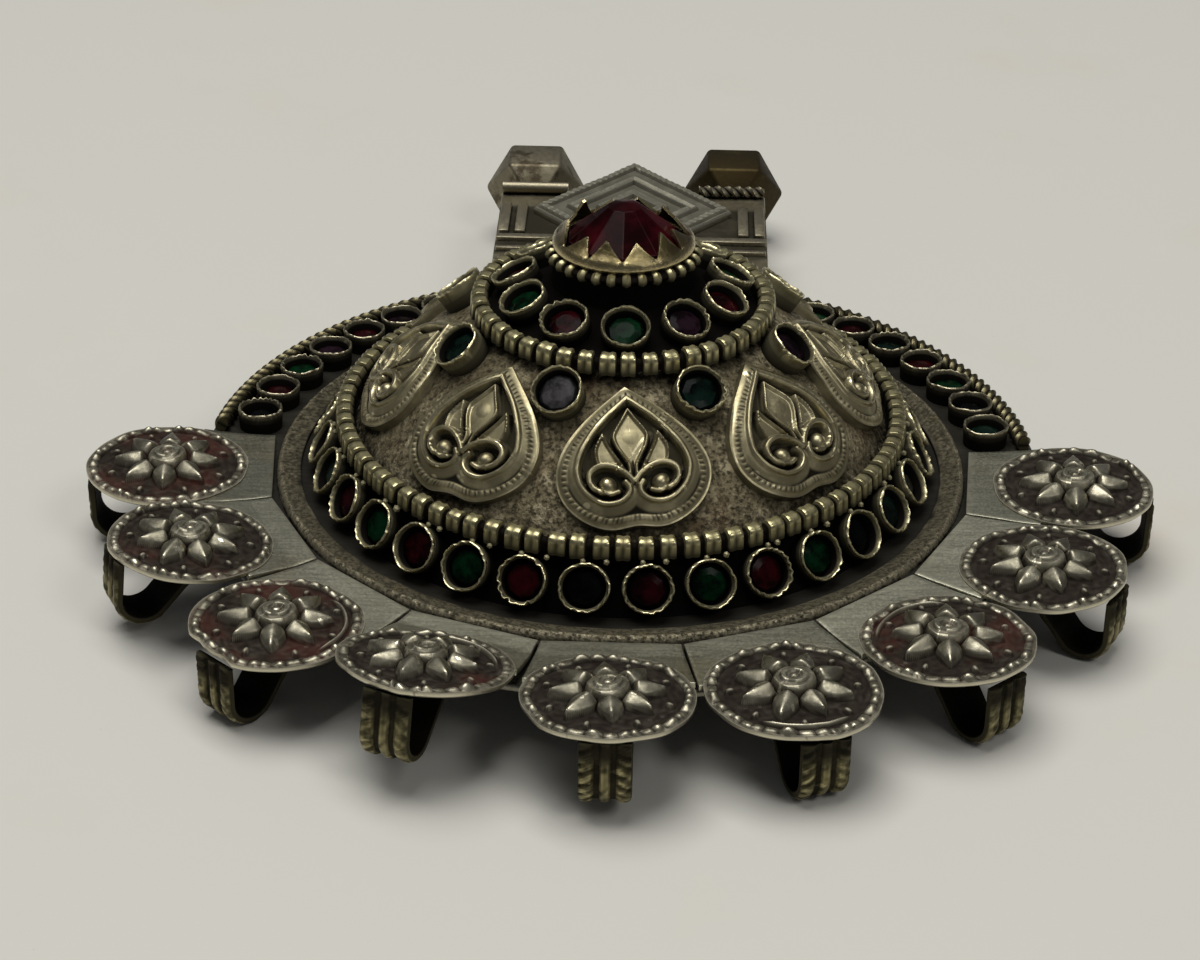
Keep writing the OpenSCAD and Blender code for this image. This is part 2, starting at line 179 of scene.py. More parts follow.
world = bpy.data.worlds.new("studio")
world.use_nodes = True
world.node_tree.nodes["Background"].inputs["Color"].default_value = (0.93, 0.95, 1, 1)
world.node_tree.nodes["Background"].inputs["Strength"].default_value = 0.115
bpy.context.scene.world = world
bpy.context.scene.view_settings.view_transform = "Standard"


def soft_box(name, place, size, power):
    """A square lamp, in millimetres round the dome's axis, that faces the pendant."""
    lamp = bpy.data.lights.new(name, "AREA")
    lamp.size = size * MM
    lamp.energy = power
    lamp.color = (1, 0.985, 0.95)
    made = bpy.data.objects.new(name, lamp)
    towards = Vector(place)
    turned = towards.to_track_quat("Z", "Y").to_matrix().to_4x4()
    made.matrix_world = Matrix.Translation(to_row @ towards) @ turned
    bpy.context.scene.collection.objects.link(made)


soft_box("overhead_box", (-120, 90, 1000), 760, 8.1)
soft_box("front_box", (520, -480, 760), 300, 1.5)

camera_reach = 285.03
camera_lift = radians(29.2)
camera_roll = radians(0.71)
looks_at = Vector((-2.01, 0, 4.39))
turned_by = radians(1.43)
photo_width_px = 1200
focal_px = 2845.64
back = Vector((0, -cos(camera_lift), sin(camera_lift)))
level_up = Vector((0, sin(camera_lift), cos(camera_lift)))
right = Vector((cos(camera_roll), 0, 0)) + level_up * sin(camera_roll)
up = back.cross(right)
lens = bpy.data.cameras.new("camera")
lens.sensor_width = 36
lens.lens = lens.sensor_width * focal_px / photo_width_px
lens.clip_start = 0.01
camera = bpy.data.objects.new("camera", lens)
stands = looks_at + back * camera_reach
aims = Matrix((right, up, back)).transposed().to_4x4()
camera.matrix_world = (Matrix.Translation(to_row @ (Matrix.Rotation(turned_by, 3, "Z") @ stands))
                       @ Matrix.Rotation(turned_by, 4, "Z") @ aims)
bpy.context.scene.collection.objects.link(camera)
bpy.context.scene.camera = camera

# The base sheet.
# A round sheet of low silver, cut with shears and hammered flat. Everything else is soldered on it,
# and its plain back has gone grey and blotchy.
blackened_recess, given, gives = effect(
    "Blackened recess", {"Reach": 0.001, "Start": 0.3, "End": 0.7, "Breakup": 0.4, "Scale": 1500}, ["Mask"])
crevice = node(blackened_recess, "AmbientOcclusion", {"Distance": given["Reach"]}, samples=8)
rough_edge = mottled(blackened_recess, here(blackened_recess), given["Scale"], 4, 0.65)
wander = node(blackened_recess, "Math", {0: rough_edge, 1: 0.5}, operation="SUBTRACT").outputs[0]
closed_in = node(blackened_recess, "Math", {0: 1.0, 1: crevice.outputs["AO"]},
                 operation="SUBTRACT").outputs[0]
wandering = node(blackened_recess, "Math", {0: wander, 1: given["Breakup"], 2: closed_in},
                 operation="MULTIPLY_ADD").outputs[0]
blackened_recess.links.new(spread(blackened_recess, wandering, given["Start"], given["End"]), gives["Mask"])

rubbed_edge, given, gives = effect("Rubbed edge", {"Start": 0.51, "End": 0.58}, ["Mask"])
edge = node(rubbed_edge, "NewGeometry", {}).outputs["Pointiness"]
rubbed_edge.links.new(spread(rubbed_edge, edge, given["Start"], given["End"]), gives["Mask"])

brush_marks, given, gives = effect("Brush marks", {"Turn": 0, "Scale": 250}, ["Height", "Mask"])
turn = node(brush_marks, "CombineXYZ", {"Z": given["Turn"]}).outputs[0]
along = node(brush_marks, "Mapping", {"Vector": here(brush_marks), "Rotation": turn, "Scale": (1, 14, 4)})
strokes = mottled(brush_marks, along.outputs[0], given["Scale"], 5, 0.7)
brush_marks.links.new(strokes, gives["Height"])
brush_marks.links.new(spread(brush_marks, strokes, 0.35, 0.7), gives["Mask"])


def worked_metal(name, bright, dull, dirt_and_shade=(0.006, 0.005, 0.004), shine=(0.25, 0.5), reach=1.0,
                 recess=(0.3, 0.7), breakup=0.35, edges=(0.51, 0.57), grain=(3500, 0.06),
                 cloud=(180, 0.45, 0.7), tint=None, brushed=None, residue=None, lumps=0.1, pitted=0.0):
    """Silver or brass that is bright where it is rubbed, dull elsewhere, and black in its hollows and where
    painted shade is written on its mesh.
    """
    made, tree, shader = new_material(name)
    rub = placed(tree, rubbed_edge, start=edges[0], end=edges[1])["Mask"]
    fine = placed(tree, fine_grain, scale=grain[0])
    shaded = placed(tree, blackened_recess, reach=reach * MM, start=recess[0], end=recess[1],
                    breakup=breakup)["Mask"]
    # The mesh's own blackness: soot in hollows, and on some parts painted shade
    hollows_and_shade = node(tree, "Attribute", {}, attribute_name="hollow").outputs["Fac"]
    black = worked_out(tree, "MAXIMUM", shaded, hollows_and_shade)
    if pitted:
        black = worked_out(tree, "MAXIMUM", black, worked_out(tree, "MULTIPLY", fine["Mask"], pitted))
    polished = worked_out(tree, "MAXIMUM", rub, worked_out(tree, "MULTIPLY", stain(tree, *cloud), 0.45))
    metal = laid_over(tree, polished, dull, bright)
    if tint:
        metal = laid_over(tree, stain(tree, *tint[1:4]), metal, tint[0], tint[4])
    height = fine["Height"]
    if brushed:
        strokes = placed(tree, brush_marks, turn=radians(brushed[0]), scale=brushed[1])
        scratched = tuple(part * 0.55 for part in dull)
        metal = laid_over(tree, strokes["Mask"], metal, scratched, 0.6)
        height = worked_out(tree, "ADD", worked_out(tree, "MULTIPLY", strokes["Height"], 0.6),
                            worked_out(tree, "MULTIPLY", height, 0.4))
    if residue:
        dirt_and_shade = laid_over(tree, stain(tree, *residue[1:]), dirt_and_shade, residue[0])
    soft = worked_out(tree, "ADD", worked_out(tree, "MULTIPLY", black, 0.35),
                      worked_out(tree, "MULTIPLY", fine["Mask"], 0.1))
    sheen = spread(tree, polished, 0, 1, shine[1], shine[0])
    filled(tree, shader, {
        "Base Color": laid_over(tree, black, metal, dirt_and_shade), "Metallic": spread(tree, black, 0, 1, 1.0, 0.0),
        "Roughness": worked_out(tree, "ADD", sheen, soft), "Specular IOR Level": 0.06,
        "Normal": bumped(tree, height, grain[1], lumps * MM)})
    return made


def soldered(name, bm, slot, cad_node, *paints, place=to_row, sharp=40):
    """A finished piece of the pendant's one body, with its metals or glass, that stands for a CAD node."""
    made = finished_mesh(name, bm, place, sharp)
    for paint in paints:
        made.data.materials.append(paint)
    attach(made, "root")
    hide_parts(cad_node)


def bevelled(bm, edges, offset, segments=2, at="EDGES"):
    """Rubs edges or corners down."""
    bmesh.ops.bevel(bm, geom=edges, offset=offset, segments=segments, profile=0.5, material=-1, affect=at)


def faced_out(bm):
    """Turns all faces outwards."""
    bmesh.ops.recalc_face_normals(bm, faces=bm.faces)
    return bm


def spun(outline, steps, closed=False):
    """A turned body: an outline of radius and height spun round the dome's axis, from the front."""
    bm = bmesh.new()
    points = [bm.verts.new((0, -radius, height)) for radius, height in outline]
    ends = points[1:] + points[:1] if closed else points[1:]
    edges = [bm.edges.new(pair) for pair in zip(points, ends)]
    bmesh.ops.spin(bm, geom=points + edges, cent=(0, 0, 0), axis=(0, 0, 1), angle=tau, steps=steps,
                   use_merge=True)
    bmesh.ops.remove_doubles(bm, verts=bm.verts, dist=0.0004)
    return faced_out(bm)


def turned_by_degrees(angle, axis="Z"):
    return Matrix.Rotation(radians(angle), 4, axis)


def on_circle(angle, radius, height):
    """A point round an axis, from an angle in degrees that starts at the front and grows to the right."""
    turn = radians(angle)
    return Vector((radius * sin(turn), -radius * cos(turn), height))


def from_axis(co):
    return hypot(co.x, co.y)


def round_axis(co):
    """The angle that on_circle takes, from 0 to 360."""
    return degrees(atan2(co.x, -co.y)) % 360


def step_round(co, steps):
    """Which of the spun sections a vertex is in."""
    return round(atan2(co.x, -co.y) / tau * steps) % steps


def reshaped(bm, rule):
    """Moves each vertex by a rule on its angle, radius and height round the axis."""
    for vert in bm.verts:
        vert.co = on_circle(*rule(round_axis(vert.co), from_axis(vert.co), vert.co.z))
    return bm


def smooth(value, low, high):
    """0 below a range, 1 above it, and a soft slope between."""
    share = min(1, max(0, (value - low) / (high - low)))
    return share * share * (3 - 2 * share)


def fade(value, low, high):
    """1 below a range, 0 above it, and a soft slope between."""
    return 1 - smooth(value, low, high)


def plateau(value, foot, edge, far_edge, far_foot):
    """1 on a stretch of a range, with a soft slope on both its sides."""
    return smooth(value, foot, edge) * fade(value, far_edge, far_foot)


def chance(*numbers):
    """A fixed number from -1 to 1 for a place or a count, so that no two like pieces are quite alike."""
    apart = [7.31 * number + 0.37 for number in numbers]
    return noise.noise(Vector((apart + [0.5, 0.5])[:3]) * 1.7) * 1.6


sheet_r = (sheet_high.x - sheet_low.x) / 2 / MM
sheet_under = sheet_low.z / MM
sheet_top = sheet_high.z / MM
sheet_metal = worked_metal("grey sheet silver", (0.24, 0.225, 0.18), (0.1, 0.093, 0.072),
                           (0.004, 0.0035, 0.003), grain=(2500, 0.12), brushed=(20, 180))
outline = [(0, sheet_top), *((sheet_r * k / 8, sheet_top) for k in range(1, 8)), (sheet_r - 2.2, sheet_top),
           (sheet_r - 1.2, sheet_top), (sheet_r - 0.15, sheet_top),
           (sheet_r, sheet_top - 0.2), (sheet_r, sheet_under + 0.2), (sheet_r - 0.2, sheet_under),
           *((sheet_r * k / 8, sheet_under) for k in range(7, 0, -1)), (0, sheet_under)]


def cut_edge(angle, radius, height):
    trim = 0.16 * max(0, radius / sheet_r - 0.9) * (chance(angle / 60) - 1)
    underneath = height < sheet_top - 0.3 and radius < sheet_r - 1
    dent = 0.05 * abs(chance(angle / 90, radius / 60)) * underneath
    return angle, radius + trim, height + dent


def painted_dark(bm, rule):
    """Writes how black each vertex is, by a rule on its place, into the hollow attribute: soot, and painted
    shade.
    """
    layer = bm.verts.layers.float.get("hollow") or bm.verts.layers.float.new("hollow")
    for vert in bm.verts:
        vert[layer] = min(1, max(0, rule(vert.co)))
    return bm


# The sheet's top is painted black where it shows between the parts: partly soot, partly painted shadow of the
# collar, border and collets standing on it
def sheet_soot_and_shade(co):
    radius = from_axis(co)
    black = 1 - 0.22 * smooth(radius, 30.6, 31.6)
    return black * (co.z > sheet_top - 0.1) * fade(radius, sheet_r - 2, sheet_r - 0.3)


bm = reshaped(painted_dark(spun(outline, 180), sheet_soot_and_shade), cut_edge)
soldered("base_sheet", bm, "sheet_metal", "base_plate", sheet_metal)

# The border ring round the collar's foot.
# A cast flange with fine radial reeding on its outer slope, soldered flat on the sheet. The gutter on its
# inner side is painted black: partly grime, partly painted shadow cast by the collar.
border_foot_r = 31.7
border_reeds = 230
border_metal = worked_metal("reeded silver", (0.38, 0.34, 0.235), (0.17, 0.152, 0.1), shine=(0.38, 0.58),
                            recess=(0.2, 0.7), breakup=1.0, grain=(2400, 0.8), cloud=(900, 0.5, 0.75),
                            tint=((0.3, 0.23, 0.11), 420, 0.56, 0.75, 0.4), lumps=0.2, pitted=0.85)
# From the inner foot over the slope to the outer foot: how far out, and how high over the sheet
slope = ((0, -0.1), (0, 0.3), (0.3, 0.42), (0.6, 0.5), (0.9, 0.58), (1.2, 0.64), (1.5, 0.72), (1.75, 0.84),
         (1.95, 0.88), (2.2, 0.7), (2.4, 0.25), (2.4, -0.1))
outline = [(border_foot_r + out, sheet_top + up) for out, up in slope]


def reeded(angle, radius, height):
    reed = 0.5 + 0.5 * cos(radians(angle * border_reeds))
    outwards = min(1, max(0, (radius - border_foot_r - 1.1) * 1.5))
    on_slope = outwards * min(1, max(0, height - sheet_top + 0.05) * 3)
    cut = reed * on_slope * (0.3 + 0.4 * chance(angle / 30))
    wobble = 0.1 * chance(angle / 4, radius * 1.5) - 0.08
    return angle, radius - 0.05 * cut, height - 0.07 * cut + wobble * on_slope


# Random grime on the border's inner slope, and a black band along its inner foot that is painted shadow of
# the collar
def gutter_grime_and_shade(co):
    out = from_axis(co) - border_foot_r
    grime = smooth(chance(co.x / 2.5, co.y / 2.5), -0.25, 0.45) * (0.8 - 0.48 * smooth(out, 1.6, 1.9))
    gutter = 0.2 * chance(co.x / 30, co.y / 30)
    return max(fade(out, gutter, gutter + 0.7), grime)


bm = reshaped(painted_dark(spun(outline, border_reeds * 3, closed=True), gutter_grime_and_shade), reeded)
soldered("border_flange", bm, "dark_silver", "border_ring", border_metal)

# The twisted wires on the sheet's rear edge.
# Two strands laid round each other, one arc on each side of the bail. They guard the rear collets
# and have an olive, brassy colour where they are rubbed.
rim_rope_r = 40.7
rim_rope_half = 0.85
rim_rope_z = sheet_top + rim_rope_half * 0.93
rim_rope_pitch = 2.6
rim_rope_from = 95.9
rim_rope_to = 156


def drawn(outline, stations, soot=None):
    """A bar drawn from a flat outline in its own XY plane through a list of placings, closed at its ends."""
    bm = bmesh.new()
    layer = bm.verts.layers.float.new("hollow")
    corners = [bm.verts.new(stations[0] @ Vector((x, y, 0))) for x, y in outline]
    for corner, black in zip(corners, soot or [0] * len(corners)):
        corner[layer] = black
    cap = bm.faces.new(corners)
    for before, after in zip(stations, stations[1:]):
        made = bmesh.ops.extrude_face_region(bm, geom=[cap])["geom"]
        fresh = [part for part in made if isinstance(part, bmesh.types.BMVert)]
        cap = next(part for part in made if isinstance(part, bmesh.types.BMFace))
        bmesh.ops.transform(bm, matrix=after @ before.inverted(), verts=fresh)
    return faced_out(bm)


def rope_outline(half):
    """The section of a two-strand rope: a round that is nipped in the middle."""
    turns = [tau * k / 14 for k in range(14)]
    return [(half * (0.62 + 0.38 * cos(a) ** 2) * cos(a),
             half * (0.62 + 0.38 * cos(a) ** 2) * sin(a)) for a in turns]


def rope_round(first, last):
    """A rope bent round the sheet's edge, between two angles."""
    twists = radians(last - first) * rim_rope_r / rim_rope_pitch * 2
    count = int(twists * 9)
    stations = []
    for k in range(count + 1):
        angle = first + (last - first) * k / count
        twist = Matrix.Rotation(pi * twists * k / count, 4, "Z")
        place = Matrix.Translation(on_circle(angle, rim_rope_r, rim_rope_z)) @ turned_by_degrees(angle)
        stations.append(place @ Matrix.Rotation(pi / 2, 4, "Y") @ twist)
    return drawn(rope_outline(rim_rope_half), stations)


def rope_soot(co):
    off = hypot(from_axis(co) - rim_rope_r, co.z - rim_rope_z)
    return fade(off / rim_rope_half, 0.66, 0.84)


rope_metal = worked_metal("olive rope silver", (0.17, 0.15, 0.085), (0.06, 0.052, 0.028),
                          (0.008, 0.006, 0.003), shine=(0.3, 0.5), reach=0.7, recess=(0.15, 0.5),
                          edges=(0.505, 0.56))
for side, first, last in (("left", -rim_rope_to, -rim_rope_from), ("right", rim_rope_from, rim_rope_to)):
    bm = painted_dark(rope_round(first, last), rope_soot)
    soldered("rim_rope_" + side, bm, "bright_wire", "rim_wire_" + side, rope_metal)

# The upright collets inside the rear rim, with their glass.
# Eight cups of thin strip a side stand in a row on the sheet. Each holds a foiled glass, sunk
# about a millimetre under a rim that was pushed in with a tool and left wavy.
collet_wall = 0.42
gem_high = 0.65
gem_sunk = 1.42


def joined(whole, part, place=Matrix(), paint=None):
    """Adds a part to a mesh, at a place and in one of its paints, and lets go of the part."""
    if paint is not None:
        for face in part.faces:
            face.material_index = paint
    bmesh.ops.transform(part, matrix=place, verts=part.verts)
    carried = bpy.data.meshes.new("carried")
    part.to_mesh(carried)
    part.free()
    whole.from_mesh(carried)
    bpy.data.meshes.remove(carried)


def seat(angle, radius, height, lift=90):
    """A placing whose Z axis points outwards and up, at a radius and height round the dome."""
    return (turned_by_degrees(angle) @ Matrix.Translation((0, -radius, height))
            @ turned_by_degrees(90 - lift, "X"))


def ring_of_seats(count, first, radius, height, lift):
    return [seat(first + 360 / count * k, radius, height, lift) for k in range(count)]


def collet(outer, height, count, sootiness=2.2):
    """A cup of thin strip with its rim at zero height, pinched in where the setting tool pressed."""
    inner = outer - collet_wall
    lip = ((0.06, -0.6), (0.02, -0.28), (0, -0.14), (0.05, -0.02), (0.13, 0.02), (0.2, -0.03), (0.26, -0.2))
    outline = [(0, -height), (outer - 0.16, -height), (outer - 0.1, -height * 0.5),
               *((outer - off, level) for off, level in lip),
               (inner - 0.02, -0.5), (inner - 0.03, -1.5), (0, -1.5)]
    pinches = 15 + int(8 * abs(chance(count, 8)))
    strength = 0.08 + 0.22 * abs(chance(count, 3))
    oval = 0.03 * chance(count, 5)
    spots = [(360 / pinches * (k + 0.35 * chance(k, count)), 0.55 + 0.6 * chance(k, count, 4))
             for k in range(pinches)]

    def pressed(angle):
        return max(deep * max(0, 1 - (((angle - spot + 180) % 360 - 180) / 7) ** 2) for spot, deep in spots)

    def pinched(angle, radius, level):
        near_rim = max(0, 1 + level / 0.6) * (radius > inner * 0.8)
        press = strength * pressed(angle) * near_rim
        turn = radians(angle)
        ripple = 0.05 * sin(3 * turn + 2 * count) + 0.03 * sin(7 * turn + 3 * count) - 0.03
        wave = 0.035 * sin(5 * turn + count) - 0.03
        return (angle, radius * (1 + oval * cos(2 * turn + count)) - press + wave * near_rim,
                level - 0.6 * press + ripple * near_rim)

    def soot(co):
        within = from_axis(co) < inner + 0.06
        nick = 0.6 * pressed(round_axis(co))
        return 1.0 if within and co.z < -0.22 else max(nick, -co.z * sootiness - 0.2 * sootiness)

    return reshaped(painted_dark(spun(outline, 96), soot), pinched)


def glass_gem(radius, sides):
    """Cheap cut glass: a girdle, two rows of slanted facets and a flat table."""
    outline = [(0, 0), (radius, 0), (radius, gem_high * 0.35), (radius * 0.8, gem_high * 0.75),
               (radius * 0.48, gem_high), (0, gem_high)]
    return spun(outline, sides)


OLD_GLASS = {"IOR": 1.52, "Specular IOR Level": 0.02, "Transmission Weight": 0.05}


def coloured_glass(name, colour):
    """Glass over dull foil: a deep, cloudy colour that shines little, and some grime at its edge."""
    made, tree, shader = new_material(name)
    black = placed(tree, blackened_recess, reach=1.1 * MM, start=0.2, end=0.75, breakup=0.6)["Mask"]
    deep = tuple(part * 0.12 for part in colour)
    body = laid_over(tree, stain(tree, 520, 0.35, 0.65), deep, colour)
    scratches = bumped(tree, placed(tree, fine_grain, scale=2500)["Height"], 0.08, 0.1 * MM)
    filled(tree, shader, {"Base Color": laid_over(tree, black, body, (0.002, 0.002, 0.002)),
                          "Roughness": 0.2, "Normal": scratches, **OLD_GLASS})
    return made


# The smoky glass is no glass colour: a pale grey painted into one dark glass as a glint of reflection
glass_colours = {
    "green": (0.0015, 0.022, 0.007), "red": (0.027, 0.0017, 0.0033), "black": (0.002, 0.0023, 0.0023),
    "sea": (0.004, 0.013, 0.009), "wine": (0.02, 0.0015, 0.003), "violet": (0.016, 0.007, 0.012),
    "smoky": (0.07, 0.066, 0.07),
}
glasses = {colour: coloured_glass(colour + " glass", shade) for colour, shade in glass_colours.items()}


def row_of_glass(name, seats, radius, colours, slot, cad_node):
    """One glass for each seat, joined to a piece that stands for the CAD node of that row."""
    bm = bmesh.new()
    colours = colours.split()
    names = sorted(set(colours))
    for count, (place, colour) in enumerate(zip(seats, colours)):
        place = place @ Matrix.Translation((0, 0, -gem_sunk)) @ Matrix.Rotation(2 * chance(count, 4), 4, "Z")
        tipped = Matrix.Rotation(0.09 * chance(count, 6), 4, "X")
        joined(bm, glass_gem(radius, 8 + count % 3), place @ tipped, names.index(colour))
    soldered(name, bm, slot, cad_node, *(glasses[colour] for colour in names), sharp=12)


def row_of_collets(bm, seats, outer, height, first=0, sootiness=2.2, paint=1):
    """One collet for each seat, joined to a piece as its second paint."""
    for count, place in enumerate(seats):
        joined(bm, collet(outer, height, count + first, sootiness), place, paint)


RIM_CUPS = 8
rim_cup_r = 2.3
rim_cup_high = 2.25
rim_gem_r = 1.85
rim_row_r = 37.2
rim_first = 99
rim_pitch = 8
rim_seats = [seat(side * (rim_first + rim_pitch * k), rim_row_r, sheet_top + rim_cup_high - 0.05)
             for side in (-1, 1) for k in range(RIM_CUPS)]
cup_wear = {"reach": 0.9, "recess": (0.42, 0.8), "edges": (0.5, 0.54), "breakup": 0.5}
cup_metal = worked_metal("rubbed collet silver", (0.66, 0.6, 0.37), (0.25, 0.225, 0.13),
                         shine=(0.24, 0.45), **cup_wear)
dull_cup_metal = worked_metal("dull collet silver", (0.42, 0.38, 0.26), (0.16, 0.144, 0.095),
                              shine=(0.28, 0.45), **cup_wear)
bm = bmesh.new()
row_of_collets(bm, rim_seats, rim_cup_r, rim_cup_high, first=70, paint=0)
soldered("rim_cups", bm, "bright_wire", "rim_collets", dull_cup_metal)
row_of_glass("rim_glass", rim_seats, rim_gem_r, "black wine green violet wine violet sea black "
             "sea black green red sea wine green black", "rim_glass", "rim_stones")

# The collar: a steep band round the dome's foot.
# It is black all over: partly blackened silver, partly painted shadow among its crowded collets. 32 collets
# with red, green and black glass are soldered on its slope, with a few solder granules left between them and
# the ring above.
collar_foot = (29.5, sheet_top - 0.1)
collar_shoulder = (26.2, 11.7)
black_and_shade_metal = worked_metal("blackened and shaded silver", (0.05, 0.043, 0.03), (0.014, 0.012, 0.009),
                           (0.003, 0.0025, 0.002), shine=(0.45, 0.62), reach=1.5, recess=(0.05, 0.4),
                           grain=(2600, 0.5), cloud=(500, 0.6, 0.8))
COLLAR_CUPS = 32
cup_r = 2.4
gem_r = 1.95
collar_first = 6.2
collar_row_r, collar_row_z = 29.85, 9.8
collar_lift = 31
collar_wall = 0.7
drop_row_r, drop_row_z = 28.2, 11.65
collar_seats = ring_of_seats(COLLAR_CUPS, collar_first, collar_row_r, collar_row_z, collar_lift)
outline = [(collar_foot[0] - collar_wall, collar_foot[1]), collar_foot, (28.4, 8.3), (27.3, 10),
           collar_shoulder, (collar_shoulder[0] - collar_wall, collar_shoulder[1])]
# The whole band is painted black: partly blackened silver, partly painted shadow among the collets
band = painted_dark(spun(outline, 160, closed=True), lambda co: 1.0)


def granule(radius):
    bm = bmesh.new()
    bmesh.ops.create_icosphere(bm, subdivisions=1, radius=radius)
    return bm


row_of_collets(band, collar_seats, cup_r, 2.4)
for k in range(COLLAR_CUPS):
    for part in range(2):
        turned = collar_first + 360 / COLLAR_CUPS * (k + 0.32 * part + 0.12 * chance(k, part))
        drop = painted_dark(granule(0.28 + 0.1 * abs(chance(k, part, 2))), lambda co: 0.75 - co.z)
        joined(band, drop, seat(turned, drop_row_r, drop_row_z + 0.1 * chance(k), collar_lift), paint=1)
soldered("collar_band", band, "black_ground", "collar", black_and_shade_metal, cup_metal)
row_of_glass("collar_glass", collar_seats, gem_r, "wine green red green black sea black green "
             "wine sea red black green red sea wine green black red green wine sea red green "
             "black sea wine green red green red black", "collar_glass", "collar_stones")

# The shoulder ring, where the collar meets the dome.
# A heavy square wire is bent round the dome's foot and filed across into 84 blocks, so that their
# faces shine and the gaps stay black.
ring_metal = worked_metal("filed block silver", (0.48, 0.435, 0.24), (0.12, 0.106, 0.056),
                          (0.008, 0.006, 0.004), shine=(0.26, 0.48), recess=(0.3, 0.75),
                          edges=(0.505, 0.55), breakup=0.9, cloud=(500, 0.45, 0.65), lumps=0.2,
                          tint=((0.36, 0.28, 0.13), 300, 0.5, 0.75, 0.35))
SHOULDER_BLOCKS = 84
shoulder_r, shoulder_low, shoulder_top = 27.2, 11.72, 13.68
# Along one tooth and its gap: how far on, and how deep the file has gone
FILED = ((0, 1), (0.06, 0.65), (0.12, 0.12), (0.24, 0), (0.44, 0.17), (0.64, 0), (0.76, 0.12),
         (0.81, 0.65), (0.86, 1), (0.93, 1.03))


def filed_ring(outline, core, teeth, cut, uneven=1.0):
    """A wire ring with grooves filed across it: sections in a groove shrink towards the core."""
    def filed(angle):
        tooth, part = divmod(round(angle / 360 * teeth * len(cut)), len(cut))
        return tooth, cut[part]

    def file_across(angle, radius, height):
        turn, (share, depth) = filed(angle)
        tooth = turn % teeth
        shift = 0.06 * uneven * chance(tooth, 1)
        size = depth * 0.45 + 0.06 * uneven * chance(tooth, 2)
        lean = 0.06 * uneven * chance(tooth, 3) * (share - 0.3)
        return ((turn + share * (1 + 0.1 * uneven * chance(tooth, 5)) + shift) * 360 / teeth,
                radius + (core[0] - radius) * (size + lean), height + (core[1] - height) * (size - lean))

    def file_soot(co):
        depth = filed(round_axis(co))[1][1]
        back = fade(from_axis(co), core[0] - 0.45, core[0] - 0.1)
        foot = 0.9 * fade(co.z, core[1] - 0.3, core[1] + 0.8)
        return max(smooth(depth, 0.2, 0.7), 0.5 * (0.15 < depth < 0.2), back, foot)

    return faced_out(reshaped(painted_dark(spun(outline, teeth * len(cut), closed=True), file_soot), file_across))


def square_wire(radius, low, high):
    """The outline of a square wire with worn corners on its outer side and top."""
    half = 0.9
    tall = high - low
    return [(radius - half, low), (radius + half * 0.98, low), (radius + half, low + tall * 0.12),
            (radius + half * 0.93, low + tall * 0.62), (radius + half * 0.84, low + tall * 0.82),
            (radius + half * 0.62, low + tall * 0.93), (radius + half * 0.1, high),
            (radius - half * 0.6, high - tall * 0.06), (radius - half, high - tall * 0.35)]


shoulder_wire = square_wire(shoulder_r, shoulder_low, shoulder_top)
bm = filed_ring(shoulder_wire, (26.9, 12.2), SHOULDER_BLOCKS, FILED)
soldered("shoulder_blocks", bm, "bright_wire", "shoulder_ring", ring_metal)

# The dome.
# A raised shell with a coarse, sooted ground, brown where the soot is thin. Eight plain collets
# stand high on it, between the heart plaques.
DOME_STEPS = 24
MIDDLE_CUPS = 8
middle_cup_r = 2.5
middle_gem_r = 2.02
middle_first = 25.9
middle_row_r, middle_row_z = 17.6, 23.2
middle_lift = 52
dome_foot = Vector(collar_shoulder)
dome_top = Vector((12.9, 23.4))
dome_bulge = 1.2
dome_wall = 0.7
dome_slant = (dome_top - dome_foot).normalized()
dome_out = Vector((dome_slant.y, -dome_slant.x))
dome_length = (dome_top - dome_foot).length


def dome_line(along, off=0.0):
    """A point over the dome's side, as radius and height: how far up the slope, and how far off it."""
    share = along / dome_length
    rise = dome_bulge * 4 * share * (1 - share)
    lean = dome_bulge * 4 * (1 - 2 * share) / dome_length
    normal = (dome_out - dome_slant * lean).normalized()
    return dome_foot + dome_slant * along + dome_out * rise + normal * off


dome_metal = worked_metal("sooted dome silver", (0.78, 0.69, 0.46), (0.26, 0.222, 0.138),
                          (0.008, 0.006, 0.004), shine=(0.28, 0.46), reach=2.6, recess=(0.2, 0.75),
                          breakup=1.4, grain=(2000, 1), cloud=(520, 0.47, 0.62), lumps=0.3, pitted=0.85,
                          tint=((0.16, 0.09, 0.045), 160, 0.5, 0.7, 0.5))
levels = [dome_length * k / DOME_STEPS for k in range(DOME_STEPS + 1)]
outer_line = [tuple(dome_line(level)) for level in levels]
inner_line = [tuple(dome_line(level, -dome_wall)) for level in reversed(levels)]


def grainy(angle, radius, height):
    where = on_circle(angle, radius, height)
    rough = noise.noise(where * 1.3) * 0.07 - 0.05
    dent = noise.noise(where * 0.18) * 0.18 - 0.08
    return angle, radius + rough + dent * 0.6, height + rough * 0.8


shell = reshaped(spun(outer_line + inner_line, 300, closed=True), grainy)
middle_seats = ring_of_seats(MIDDLE_CUPS, middle_first, middle_row_r, middle_row_z, middle_lift)
row_of_collets(shell, middle_seats, middle_cup_r, 2.6, first=40, sootiness=0.8)
soldered("dome_shell", shell, "dome_ground", "dome", dome_metal, cup_metal)
# The last middle glass carries a painted glint
row_of_glass("middle_glass", middle_seats, middle_gem_r, "sea violet black green wine black sea smoky",
             "dome_glass", "middle_stones")

